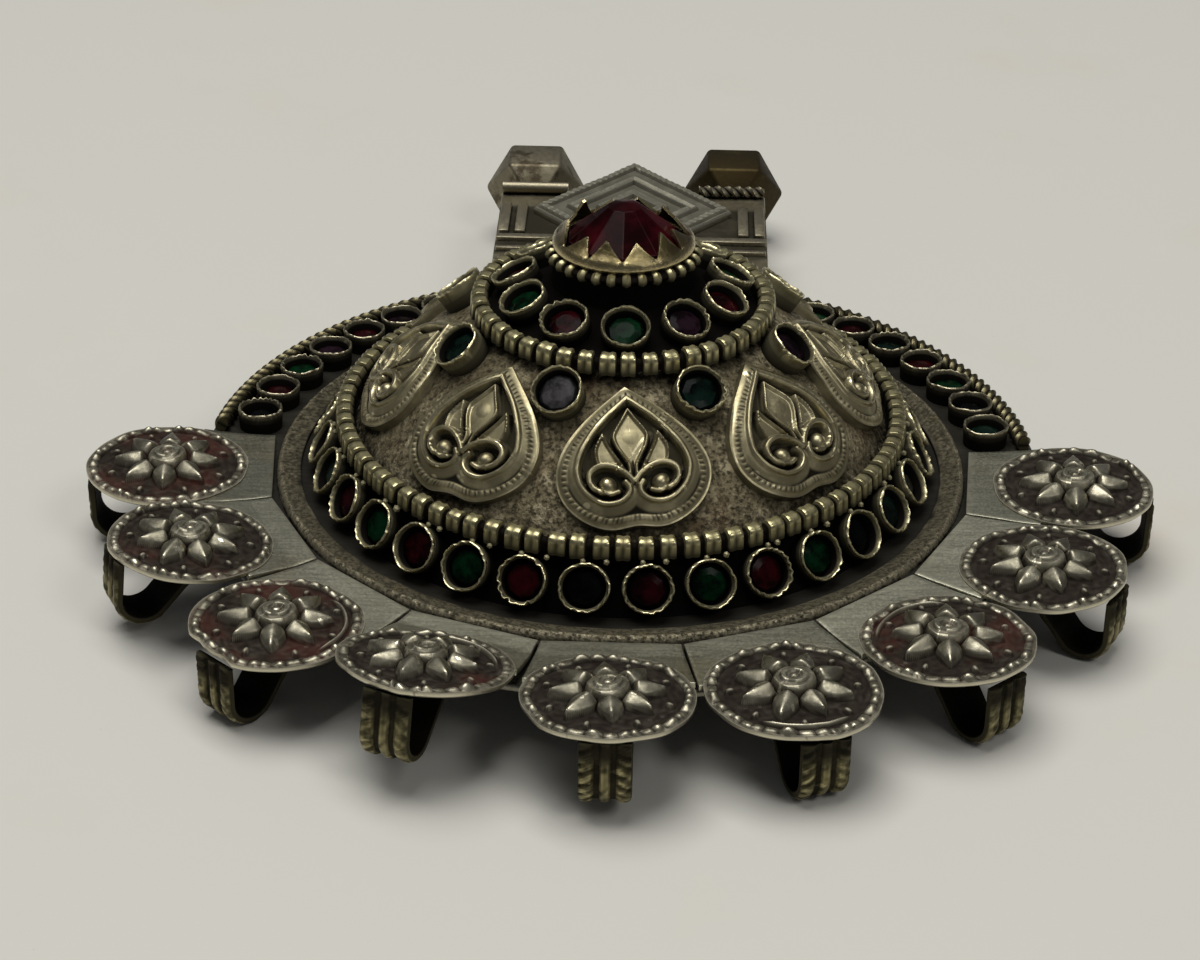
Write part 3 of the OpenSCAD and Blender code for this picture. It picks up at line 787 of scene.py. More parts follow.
# The heart plaques.
# Eight cast leaves are soldered round the dome, points up. Each has a milled border, a raised
# outline that curls in at the foot, and inside it a lozenge leaf between two side leaves.
HEART_RINGS = 64
HEART_SPOKES = 256
heart_w = 13.8
heart_long = 13.8
heart_notch = 0.6
heart_up = 0.4755 * dome_length
plaque_floor = 0.35
ridge_top = 1.45
mill_pitch = 0.55
heart_angles = [-131.6, -82, -38.5, 3.8, 48, 88, 138.4, 183.4]


def heart_rim(part):
    """A heart's outline, point up: across and up, for the part of a turn from its point."""
    turn = tau * part
    return Vector((heart_w * 0.667 * sin(turn) * sin(turn / 2),
                   heart_long / 2 * cos(turn) + heart_notch * sin(turn / 2) ** 200))


def from_line(point, line):
    """The distance of a point from a line of short stretches."""
    def from_stretch(a, b):
        along = b - a
        share = min(1, max(0, (point - a).dot(along) / max(along.length_squared, 1e-9)))
        return (point - a - along * share).length

    return min(from_stretch(a, b) for a, b in zip(line, line[1:]))


def inside(point, corners):
    """Whether a point lies in a closed outline."""
    odd = False
    for a, b in zip(corners, corners[1:] + corners[:1]):
        if (a.y > point.y) != (b.y > point.y) and point.x < a.x + (point.y - a.y) / (b.y - a.y) * (b.x - a.x):
            odd = not odd
    return odd


def bent_line(*pairs):
    """A soft curve through a few points, with six steps from one to the next."""
    points = [Vector(pair) for pair in pairs]
    made = []
    ends = [points[0] * 2 - points[1], *points, points[-1] * 2 - points[-2]]
    for a, b, c, d in zip(ends, ends[1:], ends[2:], ends[3:]):
        for t in (k / 6 for k in range(6)):
            made.append(0.5 * (2 * b + (c - a) * t + (2 * a - 5 * b + 4 * c - d) * t * t
                               + (3 * b - a - 3 * c + d) * t ** 3))
    return made + [points[-1]]


def mirrored(line):
    """The left half of an outline, from its right half, running on from the end."""
    return [Vector((-p.x, p.y)) for p in reversed(line)]


heart_edge = [heart_rim(k / 96) for k in range(97)]
# The raised outline runs down one side, round the foot and up into the curl
half_outline = bent_line((0, 5.5), (2.5, 3.2), (4.2, 0.9), (4.95, -0.8), (5, -2), (4.4, -3.3), (3, -4.25),
                         (1.6, -4.25), (0.7, -3.7), (0.45, -3), (0.75, -2.45))
outline_body = half_outline[:-6] + [Vector((0, -2.6))] + mirrored(half_outline[:-6])
arch = bent_line((0, -2.5), (0.7, -1.65), (1.8, -1), (2.9, -0.95), (3.75, -1.45), (3.95, -2.2),
                 (3.65, -2.9), (3, -3.3))
curl_ball = Vector((2.4, -2.65))
curl_tail = bent_line((2.9, -3.2), (2.2, -3.45), (1.45, -3.25))
leaf_inner = bent_line((2.45, 2.05), (2.1, 1.1), (1.7, 0.35), (1.1, -0.7), (0.45, -1.9))
leaf_outer = bent_line((2.45, 2.05), (2.8, 1.5), (3.2, 0.6), (3.2, -0.3), (3, -0.95))
leaf_body = leaf_inner + [Vector((1.8, -1))] + list(reversed(leaf_outer))
lozenge = bent_line((0, 4.4), (0.62, 3.4), (1.2, 2.5), (1.5, 1.8), (1.3, 0.9), (0.92, 0.2), (0.55, -0.5),
                    (0.34, -1.1), (0.3, -3.1))
lozenge_body = lozenge + mirrored(lozenge)


def heart_border(point, to_outline):
    """Height and blackness between a plaque's milled edge and its raised outline."""
    from_edge = from_line(point, heart_edge)
    around = atan2(point.x, point.y + 1) * heart_w / 2
    mill = 0.5 + 0.5 * cos(around * tau / mill_pitch)
    crest = plateau(from_edge, 0.35, 0.6, 0.85, 1.1)
    height = 0.5 + 0.3 * smooth(from_edge, 0, 0.4) + crest * (0.22 - 0.2 * mill)
    height -= 0.12 * smooth(from_edge, 0.95, 1.15)
    ridge = ridge_top - 0.4 * smooth(to_outline, 0.1, 0.34) - 0.35 * smooth(to_outline, 0.34, 1.3)
    height = max(height, ridge)
    black = 0.6 * smooth(0.84 - height, 0, 0.12) * smooth(from_edge, 0.85, 1)
    black += 0.55 * crest * smooth(mill, 0.5, 0.95) + 0.4 * smooth(to_outline, 0.16, 0.4)
    return height, black * smooth(from_edge, 0.2, 0.5)


def heart_relief(point):
    """Height over the plaque's back and blackness, for a point on the right half of a heart plaque."""
    to_outline = from_line(point, half_outline)
    if not inside(point, outline_body):
        return heart_border(point, to_outline)
    to_lozenge = from_line(point, lozenge)
    to_leaf = min(from_line(point, leaf_inner), from_line(point, leaf_outer))
    heights = [plaque_floor, ridge_top - 1.1 * smooth(to_outline, 0.14, 0.5)]
    slit = 0.0
    if inside(point, lozenge_body):
        bump = 0.06 * max(0, 1 - ((point - Vector((0, 1.8))).length / 0.75) ** 2)
        heights.append(1 + 0.35 * fade(to_lozenge, 0.05, 0.26) + bump)
        slit = 0.25 * fade(point.x, 0.02, 0.12) * fade(point.y, -0.9, -0.4)
    else:
        heights.append(1.35 - smooth(to_lozenge, 0, 0.34))
    heights = [max(heights) - slit]
    if inside(point, leaf_body):
        heights.append(0.95 + 0.35 * fade(to_leaf, 0.05, 0.24))
    else:
        heights.append(1.3 - smooth(to_leaf, 0, 0.32))
    heights.append(1.55 - 1.2 * smooth(from_line(point, arch), 0.14, 0.52))
    heights.append(1.3 - smooth(from_line(point, curl_tail), 0.12, 0.42))
    heights.append(plaque_floor + 1.1 * sqrt(max(0, 1 - ((point - curl_ball).length / 0.9) ** 2)))
    return max(heights), 0.9 * smooth(1.12 - max(heights), 0, 0.5)


plaque_metal = worked_metal("cast plaque silver", (0.84, 0.755, 0.485), (0.32, 0.283, 0.17),
                            (0.01, 0.008, 0.005), shine=(0.2, 0.36), recess=(0.2, 0.7),
                            edges=(0.515, 0.58), breakup=0.5, cloud=(260, 0.45, 0.65), grain=(3500, 0.05))
RELIEF = {}
for ring in range(HEART_RINGS + 1):
    for spoke in range(HEART_SPOKES // 2 + 1):
        share = ring / HEART_RINGS
        made = heart_relief(heart_rim(spoke / HEART_SPOKES) * share)
        RELIEF[ring, spoke] = RELIEF[ring, -spoke % HEART_SPOKES] = made


def heart_plaque(angle, tilt, count):
    """A round blank, spun, whose rings follow the heart's outline and whose face carries the relief."""
    face_rings = [(k / HEART_RINGS, 1.0) for k in range(HEART_RINGS + 1)]
    bm = spun(face_rings + [(1.012, 0.6), (1.02, 0.0), (0.5, 0.0), (0.0, 0.0)], HEART_SPOKES)
    layer = bm.verts.layers.float.new("hollow")
    for vert in bm.verts:
        share = from_axis(vert.co)
        spoke = step_round(vert.co, HEART_SPOKES)
        point = heart_rim(spoke / HEART_SPOKES) * share
        if vert.co.z > 0.9:
            height, vert[layer] = RELIEF[round(share * HEART_RINGS), spoke]
        else:
            height = 0.45 * vert.co.z - 0.2 * (vert.co.z < 0.1)
            vert[layer] = 0.5
        point = Matrix.Rotation(radians(tilt), 2) @ point
        height += 0.08 * chance(point.x / 30, point.y / 30, count) * (vert.co.z > 0.5)
        place = dome_line(heart_up + point.y, height)
        out = dome_line(heart_up + point.y).x
        vert.co = on_circle(angle + degrees(point.x / out), place.x, place.y)
    return faced_out(bm)


heart_tilts = [3, -4, 5, 4, -3, 2, 3, -2]
for count, (angle, tilt) in enumerate(zip(heart_angles, heart_tilts), start=1):
    soldered(f"heart_plaque_{count}", heart_plaque(angle, tilt, count), "cast_plaque", f"heart_{count}",
             plaque_metal, sharp=60)

# The upper ring.
# A second filed wire, a little finer, closes the top of the dome.
UPPER_BLOCKS = 44
upper_r, upper_low, upper_top = 13.9, 23.6, 25.55
bm = filed_ring(square_wire(upper_r, upper_low, upper_top), (13.6, 24.1), UPPER_BLOCKS, FILED)
soldered("upper_blocks", bm, "bright_wire", "upper_ring", ring_metal)

# The upper tier.
# A sooted hollow tier and drum behind the upper ring. Eleven collets lean outwards on it, and the
# drum carries the finial.
UPPER_CUPS = 11
upper_first = 2.5
upper_row_r, upper_row_z = 10.8, 27
upper_lift = 64
tier_line = [(0, 29), (6.7, 29), (6.75, 28.2), (7, 26.6), (9.8, 25.3), (12.9, 23.9), (12.9, 23.4),
             (12.2, 23.4), (12.1, 23.5), (6.3, 26.1), (6, 28.3), (0, 28.3)]
drum = painted_dark(spun(tier_line, 120), lambda co: 1.0)
upper_seats = ring_of_seats(UPPER_CUPS, upper_first, upper_row_r, upper_row_z, upper_lift)
row_of_collets(drum, upper_seats, cup_r, 2.5, first=100)
soldered("tier_drum", drum, "black_ground", "upper_tier", black_and_shade_metal, cup_metal)
row_of_glass("upper_glass", upper_seats, gem_r, "green violet red green black wine sea sea wine green "
             "red", "upper_glass", "upper_stones")

# The finial: a beaded ring, a toothed bezel and a rose-cut glass.
# The bezel is polished pale brass with twelve teeth bent over a deep red glass, whose facet edges
# are worn pale and whose tip is rubbed round.
BEADED = ((0, 1), (0.04, 0.5), (0.17, 0.22), (0.3, -0.05), (0.43, 0.22), (0.57, 0.5), (0.61, 1), (0.8, 1.1))
FINIAL_BEADS = 30
wire = [(6.15, 29.0), (7.1, 29.0), (7.5, 29.2), (7.65, 29.55), (7.5, 29.95), (7.1, 30.22), (6.15, 30.25)]
bm = filed_ring(wire, (6.6, 29.6), FINIAL_BEADS, BEADED, uneven=0.8)
soldered("finial_beads", bm, "bright_wire", "finial_ring", ring_metal)

BEZEL_TEETH = 12
TOOTH_COLUMNS = 10
TOOTH_ROWS = 6
row_step = 0.1
bezel_foot_z = 30.25
bezel_top = (6.45, 31.35)
tooth_height = 2.4
tooth_lean = radians(44)


def bezel_strip():
    """A ring of strip whose upper rows are drawn up into pointed teeth that lean over the glass."""
    rows = [(6.7, bezel_foot_z), (6.85, 30.5), (6.78, 30.95), bezel_top]
    rows += [(bezel_top[0] - 0.01 * k, bezel_top[1] + row_step * k) for k in range(1, TOOTH_ROWS + 1)]

    def toothed(angle, radius, height):
        step = round(angle / 360 * BEZEL_TEETH * TOOTH_COLUMNS)
        tooth, column = divmod(step, TOOTH_COLUMNS)
        tooth %= BEZEL_TEETH
        row = round((height - bezel_top[1]) / row_step) if height > bezel_top[1] + 0.01 else 0
        if row < 1:
            return angle, radius, height
        tip = 0.5 + 0.24 * chance(tooth, 1)
        part = column / TOOTH_COLUMNS
        edge = part / tip if part < tip else (1 - part) / (1 - tip)
        up = min(edge, row / TOOTH_ROWS) * tooth_height * (0.97 + 0.16 * chance(tooth, 2))
        lean = tooth_lean + radians(17 * chance(tooth, 3)) + 0.04 * up
        belly = 0.04 * sin(pi * part)
        return (angle, bezel_top[0] - up * cos(lean) + belly * sin(lean),
                bezel_top[1] + up * sin(lean) + belly * cos(lean) - 0.12)

    bm = reshaped(spun(rows, BEZEL_TEETH * TOOTH_COLUMNS), toothed)
    bmesh.ops.remove_doubles(bm, verts=bm.verts, dist=0.01)
    bmesh.ops.solidify(faced_out(bm), geom=bm.faces, thickness=0.28)
    return bm


bezel_metal = worked_metal("polished pale brass", (0.54, 0.45, 0.24), (0.13, 0.104, 0.048),
                           (0.03, 0.02, 0.01), shine=(0.16, 0.34), reach=0.9, recess=(0.3, 0.8),
                           cloud=(320, 0.45, 0.65), grain=(650, 0.5), lumps=0.25)
soldered("toothed_bezel", bezel_strip(), "bezel_brass", "finial_bezel", bezel_metal, sharp=35)

rose_cut = spun([(0, 30.6), (5.6, 30.6), (5.5, 31.25), (1.6, 34.3), (0, 34.7)], 10)
bevelled(rose_cut, rose_cut.edges, 0.05, segments=1)
facets = [face for face in rose_cut.faces if face.calc_area() > 1]
bmesh.ops.inset_individual(rose_cut, faces=facets, thickness=0.12)
red_glass, tree, shader = new_material("deep red rose glass")
worn = placed(tree, rubbed_edge, start=0.52, end=0.6)["Mask"]
body = laid_over(tree, stain(tree, 200, 0.4, 0.7), (0.008, 0.001, 0.0015), (0.05, 0.003, 0.006))
filled(tree, shader, {"Base Color": laid_over(tree, worn, body, (0.32, 0.13, 0.13), 0.5),
                      "Roughness": spread(tree, worn, 0, 1, 0.2, 0.5), **OLD_GLASS})
soldered("rose_glass", rose_cut, "red_glass", "finial_stone", red_glass, sharp=8)

# The rosette tabs.
# Nine tabs of greyer sheet are laid side by side on the base sheet's front edge. The end of each
# is a disc, struck with a beaded rim, eight ridged petals and a ringed boss, and bent a little since.
DISC_LEVELS = [0, 0.2, 0.35, 0.47, 0.6, 0.72, 0.82, 0.92, 1.05, 1.18, 1.3, 1.42, 1.6, 1.8, 1.9, 2, 2.1, 2.2,
               2.3, 2.4, *(2.5 + 0.138 * k for k in range(29)), 6.5, *(6.64 + 0.1 * k for k in range(11)),
               7.76, 7.9, 8]
DISC_BEADS = 36
DISC_SPOKES = DISC_BEADS * 7
disc_r = 8.0
disc_reach = 44.8
tab_pitch = 21.05
tab_t = 0.6
tab_inner = 34.4
tab_bend = disc_reach - disc_r
PETALS = 8
petal_from = 1.7
petal_to = 5.2
petal_half = 1.2
seed_r = 5.7
bead_row_r = 7.3
bead_row_half = 0.46
swell = 0.5
swell_r = 6.3


def near(angle, middle, half_wide):
    """1 in the middle of a stretch round a disc, 0 from its ends on."""
    return fade(abs((angle - middle + 180) % 360 - 180), half_wide * 0.5, half_wide)


def rosette_height(radius, angle, count, arcs):
    """Height over the sheet and blackness, on a rosette disc."""
    part = (angle * PETALS / 360 + 0.5) % 1 - 0.5
    off = radians(part * 360 / PETALS)
    petal = floor(angle * PETALS / 360 + 0.5) % PETALS
    along, across = radius * cos(off), abs(radius * sin(off))
    tip = petal_to + 0.35 * chance(petal, count)
    share = (along - petal_from) / (tip - petal_from)
    height = 0.0
    if 0 < share < 1:
        half = petal_half * (0.62 + 0.38 * smooth(share, 0.05, 0.45)) * (1 - share ** 2.6)
        crest = (1.25 - 0.5 * share ** 2) * smooth(along, 1.9, 2.6)
        height = crest * (1 - 0.5 * min(1, across / max(half, 0.02)) ** 1.6)
        height *= fade(across - half, -0.05, 0.18)
    # The boss, with a ring and a dot on it
    out = radius * (1 + 0.04 * cos(radians(2 * angle) + count))
    eye = plateau(out, 0.56, 0.76, 1.16, 1.36) + 0.5 * fade(out, 0.2, 0.34)
    height = max(height, 1.08 * fade(out, petal_from, 2.15) + 0.28 * eye)
    # Seeds between the petals' tips, and stray arcs
    beside = radians(180 / PETALS) - abs(off)
    seed_across, seed_along = radius * sin(beside) / 0.33, (radius * cos(beside) - seed_r) / 0.52
    height = max(height, 0.38 * sqrt(max(0, 1 - seed_across ** 2 - seed_along ** 2)))
    for middle, half_wide, reach in arcs:
        line = near(angle, middle, half_wide) * fade(abs(radius - reach), 0.06, 0.3)
        height = max(height, 0.45 * line)
    # The beaded rim, and the plain lip outside it
    uneven = chance(angle / 150, count)
    bead_part = (angle / 360 * DISC_BEADS + 0.3 * sin(radians(5 * angle) + count)) % 1
    pillow = sqrt(max(0, 1 - abs(2 * bead_part - 1) ** 2.1))
    rim = sqrt(max(0, 1 - ((radius - bead_row_r - 0.06 * uneven) / bead_row_half) ** 2))
    on_rim, on_lip = smooth(radius, 6.75, 6.9), smooth(radius, 7.64, 7.76)
    height = max(height, rim * (0.7 + 0.5 * uneven) * (0.08 + 0.56 * pillow), 0.12 * on_lip)
    # The sooted field between
    patch = chance(radius / 6, angle / 100)
    height += fade(radius, 6.2, 6.6) * fade(height, 0.05, 0.3) * (0.05 * patch - 0.1)
    black = fade(height, 0.2, 0.55) * (1 - on_rim)
    black += fade(rim * pillow, 0.35, 0.8) * on_rim * (1 - 0.6 * on_lip)
    groove = 0.4 * fade(abs(out - 1.45), 0.05, 0.2)
    black = max(black, 0.85 * plateau(out, 0.22, 0.34, 0.52, 0.7), groove) * (0.96 + 0.05 * patch)
    return height + swell * max(0, 1 - (radius / swell_r) ** 2), black


def rosette_disc(count, bumps, arcs):
    levels = [(radius, 1) for radius in DISC_LEVELS]
    under = [(disc_r, 0.7), (disc_r - 0.12, 0.45), (disc_r - 0.5, 0.2), (disc_r - 1, 0), (disc_r / 2, 0)]
    bm = spun(levels + under + [(0, 0)], DISC_SPOKES)
    layer = bm.verts.layers.float.new("hollow")
    for vert in bm.verts:
        angle = round_axis(vert.co)
        radius = from_axis(vert.co)
        height = tab_t * vert.co.z
        if vert.co.z > 0.9:
            over, vert[layer] = rosette_height(min(radius, 7.999), angle, count, arcs)
            height = tab_t + over
        else:
            # The disc's lower edge and underside are painted dark: painted shade under the disc
            vert[layer] = 0.8 - 0.8 * smooth(vert.co.z, 0.4, 0.7)
        trim = -0.12 + 0.1 * chance(vert.co.x / 40, vert.co.y / 40, count) + sum(
            amount * near(angle, middle, half_wide) for middle, half_wide, amount in bumps)
        vert.co = on_circle(angle, radius + trim * smooth(radius, 4.5, 8), height)
    return bm


def tab_sheet(narrowed):
    """The flat part of a tab: it widens from its inner edge until it meets the disc's outline."""
    slope = tan(radians(tab_pitch / 2))
    bm = bmesh.new()
    bmesh.ops.create_grid(bm, x_segments=28, y_segments=16, size=0.5)
    for vert in bm.verts:
        side = vert.co.x * 2
        meets = min(disc_reach - 3.2, disc_reach - sqrt(max(0, 7.75 ** 2 - (side * 7.6) ** 2)))
        out = tab_inner + (meets - tab_inner) * (vert.co.y + 0.5)
        half = out * slope - 0.12 - narrowed * (vert.co.y + 0.5)
        vert.co = (side * half, -out, 0.04)
    top = bmesh.ops.extrude_face_region(bm, geom=bm.faces[:])["geom"]
    bmesh.ops.translate(bm, verts=[part for part in top if isinstance(part, bmesh.types.BMVert)],
                        vec=(0, 0, tab_t - 0.06))
    faced_out(bm)
    bevelled(bm, [edge for edge in bm.edges if edge.calc_face_angle(0) > 1], 0.07)
    return painted_dark(bm, lambda co: 0.6 * fade(
        -co.y + 0.4 * chance(co.x / 12, co.y / 12), tab_inner - 0.2, tab_inner + 0.9))


def fanned(count):
    """The placing of a tab in the fan, counted from the left."""
    return to_row @ turned_by_degrees((count - 5) * tab_pitch)


def lifted(co, lift):
    """Bends what lies in front of a tab's fold upwards, by degrees."""
    turn = radians(lift)
    out = -co.y - tab_bend
    if out <= 0:
        return co
    return Vector((co.x, -tab_bend - out * cos(turn) + co.z * sin(turn),
                   out * sin(turn) + co.z * cos(turn)))


# For each tab: how far it was bent up and twisted, its dish, how much narrower it was cut, how red its
# field is, dents in the disc's outline (where, half width, how much), and stray arcs (where, half width,
# radius)
TABS = [
    (1.5, 0.5, 0.15, 0.0, 0.9, [(-60, 60, -0.25)], []),
    (6, -0.5, 0.1, 0.0, 0.75, [(0, 60, -0.2)], []),
    (1.5, 0.5, 0.2, 0.05, 0.9, [(-3, 26, -0.55), (50, 50, 0.12)], [(132, 60, 6.3)]),
    (13, 0, 0.25, 0.3, 0.45, [(-24, 34, -0.4)], [(156, 50, 6.35)]),
    (6, 0, 0.1, 0.05, 0.3, [(90, 40, -0.2), (270, 40, -0.2)], []),
    (1, 0.5, 0.2, 0.0, 0.25, [(8, 22, 0.2), (60, 30, -0.15)], [(-21, 50, 6.25)]),
    (2, 1, 0.2, 0.0, 0.8, [(90, 40, -0.15)], [(180, 60, 6.35)]),
    (2, -0.5, 0.1, 0.0, 0.15, [(0, 60, -0.15)], []),
    (1, 0.5, 0.2, 0.0, 0.15, [(0, 50, -0.2)], []),
]
# How bright each tab's sheet is painted: a painted sheen for how much light each tilted sheet reflects
TAB_PAINTED_SHEEN = (0.78, 1.1, 1.35, 1.35, 1.0, 1.08, 1.6, 1.65, 1.15)
for count, (lift, lean, dish, narrowed, redness, bumps, arcs) in enumerate(TABS, start=1):
    angle = (count - 5) * tab_pitch
    bm = tab_sheet(narrowed)
    place = Matrix.Translation((0, -disc_reach, 0)) @ turned_by_degrees(9 * chance(count, 9))
    joined(bm, rosette_disc(count, bumps, arcs), place, paint=1)
    for vert in bm.verts:
        off = Vector((vert.co.x, vert.co.y + disc_reach)).length
        cup = dish * (off / disc_r) ** 2 * smooth(-vert.co.y, 39, 44)
        twist = tan(radians(lean)) * vert.co.x * max(0, -vert.co.y - 38) / 14
        dent = 0.06 * chance(vert.co.x / 60, vert.co.y / 60, count) * smooth(-vert.co.y, 35, 37)
        vert.co.z += cup - twist + dent
        vert.co = lifted(vert.co, lift)
    red = ((0.05, 0.017, 0.013), 150, 0.78 - 0.4 * redness, 0.95 - 0.35 * redness)
    painted_sheen = TAB_PAINTED_SHEEN[count - 1]
    pewter = worked_metal(f"brushed tab silver {count}", (0.5 * painted_sheen, 0.49 * painted_sheen, 0.38 * painted_sheen),
                          (0.29 * painted_sheen, 0.285 * painted_sheen, 0.22 * painted_sheen), (0.02, 0.017, 0.013),
                          shine=(0.28, 0.42), reach=0.8, recess=(0.3, 0.8), breakup=0.6,
                          cloud=(120, 0.4, 0.7), grain=(3500, 0.15), brushed=(angle + 10, 220),
                          tint=((0.3, 0.24, 0.13), 110, 0.5, 0.72, 0.4))
    struck = worked_metal(f"struck disc silver {count}", (0.74, 0.69, 0.525), (0.2, 0.187, 0.14),
                          (0.018, 0.013, 0.01), shine=(0.26, 0.42), recess=(0.2, 0.75), breakup=0.8,
                          edges=(0.51, 0.58), cloud=(420, 0.45, 0.65), grain=(2600, 0.3), residue=red)
    bmesh.ops.translate(bm, verts=bm.verts, vec=(0, 0, sheet_top))
    soldered(f"rosette_tab_{count}", bm, "tab_pewter", f"tab_{count}", pewter, struck,
             place=fanned(count), sharp=50)

# The strap loops under the discs.
# Each is a brass strap with three ribs, bent round and soldered to the underside of a tab, for a
# dangle to hang from. The outer ribs are notched like twisted wire.
strap_w = 4.6
strap_t = 0.55
rib_rise = 0.25
bend_r = 2.95
bend_reach = 49.65
leg_start = 43.0


def strap_outline():
    """The strap's section, flat inside and with three ribs outside: across, outwards and how black."""
    rib = ((-1, -0.06, 0.9), (-0.85, rib_rise * 0.4, 0.3), (-0.5, rib_rise * 0.9, 0), (0, rib_rise, 0),
           (0.5, rib_rise * 0.9, 0), (0.85, rib_rise * 0.4, 0.3), (1, -0.06, 0.9))
    ribs = [(middle + half * share, up, black) for middle, half in ((-1.58, 0.67), (0, 0.5), (1.58, 0.67))
            for share, up, black in rib]
    half = strap_w / 2
    return [(-half, 0.1 - strap_t, 0.9), *ribs, (half, 0.1 - strap_t, 0.9),
            *((across, -strap_t, 1) for across in (half - 0.1, 0.8, -0.8, 0.1 - half))]


def strap_stations():
    """Placings along the bent strap: down the slanted leg, round the bend and up to the disc."""
    surface = bend_r - rib_rise - 0.05
    middle = Vector((bend_reach, bend_r))
    drop = sheet_top - middle.y
    run = middle.x - leg_start
    slope = atan2(drop, run) + asin(bend_r / hypot(run, drop))
    tangent = Vector((cos(slope), -sin(slope)))
    outward = Vector((-sin(slope), -cos(slope)))
    leg_end = middle + outward * surface
    soldered_z = sheet_top + 0.25
    leg_long = (leg_end.y - soldered_z) / tangent.y
    places = [(leg_end - tangent * leg_long * (1 - k / 14), outward) for k in range(14)]
    sweep = slope + pi / 2
    for k in range(49):
        turn = -pi / 2 - slope + sweep * k / 48
        outward = Vector((cos(turn), sin(turn)))
        places.append((middle + outward * surface, outward))
    for k in range(1, 25):
        level = bend_r + (soldered_z - bend_r) * k / 24
        places.append((Vector((bend_reach + surface, level)), Vector((1, 0))))
    stations = []
    for place, outward in places:
        across = Vector((1, 0, 0))
        out = Vector((0, -outward.x, outward.y))
        stations.append(Matrix.Translation((0, -place.x, place.y))
                        @ Matrix((across, out, across.cross(out))).transposed().to_4x4())
    return stations


# How deep the nicks are on each loop
NICKED = (0.2, 0.15, 0.3, 0.45, 1, 0.7, 0.3, 0.3, 0.3)
nick_pitch = 1.05


def strap(count, lift):
    """A strap bent into a loop, its outer ribs nicked across, under a tab that may have been bent up."""
    outline = strap_outline()
    bm = drawn([(x, y) for x, y, _ in outline], strap_stations(), [black for _, _, black in outline])
    layer = bm.verts.layers.float["hollow"]
    for vert in bm.verts:
        out, up = -vert.co.y - bend_reach, vert.co.z - bend_r
        along = up + bend_r * pi / 2 if out > 0 and up > 0 else bend_r * (atan2(up, out) + pi / 2)
        phase = 0.45 * abs(vert.co.x) + (1.5 if vert.co.x > 0 else 0)
        wave = cos(tau * (along + phase) / nick_pitch) + 0.8 * chance(along / 12, vert.co.x / 9, count)
        nick = smooth(wave, 0, 1.1) * NICKED[count - 1] * (abs(vert.co.x) > 0.9)
        if vert[layer] < 0.5:
            inward = Vector((0, 1, 0)) if up > 0 else Vector((0, out, -up)).normalized()
            vert.co += inward * (0.2 * nick + 0.04 * chance(along / 8, vert.co.x / 9, count) + 0.03)
            grime = 0.7 * smooth(chance(along / 9, vert.co.x / 9), 0, 0.6)
            vert[layer] = max(vert[layer], 0.75 * nick, grime)
        # Painted shadow under the tab: the strap goes black upwards towards the disc and on the leg behind
        # the bend
        vert[layer] = max(vert[layer], 0.92 * smooth(vert.co.z, 3.6, 5.6), 0.9 * smooth(-out, 0.4, 1.6))
        vert.co.z -= sheet_top
        vert.co = lifted(vert.co, lift)
        vert.co.z += sheet_top
    return bm


brass = worked_metal("old loop brass", (0.42, 0.375, 0.2), (0.1, 0.086, 0.043), (0.007, 0.006, 0.004),
                     shine=(0.3, 0.48), reach=0.8, recess=(0.3, 0.65), edges=(0.505, 0.56), breakup=0.8,
                     cloud=(500, 0.42, 0.62), grain=(2500, 0.3))
# How far each loop went up with its tab, in degrees
LOOP_LIFTS = (0, 6, 0, 13, 6, 0, 0, 0, 0)
for count, lift in enumerate(LOOP_LIFTS, start=1):
    soldered(f"strap_loop_{count}", strap(count, lift), "loop_brass", f"loop_{count}", brass,
             place=fanned(count))

# The bail's block.
# A hollow box of sheet, closed at its back, that a cord runs through from side to side. It is
# soldered to the rear of the base sheet, and strips of wire are laid on its top.
CHANNEL_STEPS = 64
channel = Vector((51.0, 4.3))
channel_r = 3.0
bail_half = 15.5
bail_from, bail_to = 37.6, 61.5
bail_top = 9.0
notch_floor = 5.7
notch_r = 41.85


def bail_profile(across):
    """The block's side outline at a distance across it: in CHANNEL_STEPS points, forwards and up."""
    notch = sqrt(notch_r ** 2 - across ** 2)
    corners = [((bail_from, 0), 20), ((bail_to, 0), 8), ((bail_to, bail_top), 18), ((notch, bail_top), 4),
               ((notch, notch_floor), 6), ((bail_from, notch_floor), 8), ((bail_from, 0), 0)]
    points = []
    for (a, count), (b, _) in zip(corners, corners[1:]):
        points += [Vector(a).lerp(Vector(b), k / count) for k in range(count)]
    return points


def bail_body():
    """A tube spun round the channel, whose outside is squared into the block."""
    outside = [(10, bail_half - bail_half * k / 8) for k in range(17)]
    bm = spun([(channel_r, -bail_half), (channel_r, bail_half)] + outside, CHANNEL_STEPS, closed=True)
    for vert in bm.verts:
        step = step_round(vert.co, CHANNEL_STEPS)
        point = bail_profile(vert.co.z)[step]
        if from_axis(vert.co) < 5:
            point = channel + (bail_profile(bail_half)[step] - channel).normalized() * channel_r
        vert.co = (vert.co.z, *point)
    faced_out(bm)
    bevelled(bm, [edge for edge in bm.edges if edge.calc_face_angle(0) > 0.9], 0.22)
    for vert in bm.verts:
        vert.co.z += (0.05 * chance(vert.co.x / 40, vert.co.y / 40) - 0.05) * (vert.co.z > 8.5)
    return bm


def bail_soot(co):
    return 0.85 * smooth(co.z, 8, 8.6) * plateau(co.y, 42.6, 43.6, 57, 58)


def laid_strip(first, last):
    """A strip of square wire, from one corner to the opposite one, with worn edges."""
    bm = bmesh.new()
    first, last = Vector(first), Vector(last)
    size = last - first
    place = Matrix.Translation((first + last) / 2) @ Matrix.Diagonal((*size, 1))
    bmesh.ops.create_cube(bm, size=1, matrix=place)
    bevelled(bm, bm.edges[:], 0.12)
    return painted_dark(bm, lambda co: 0.0)


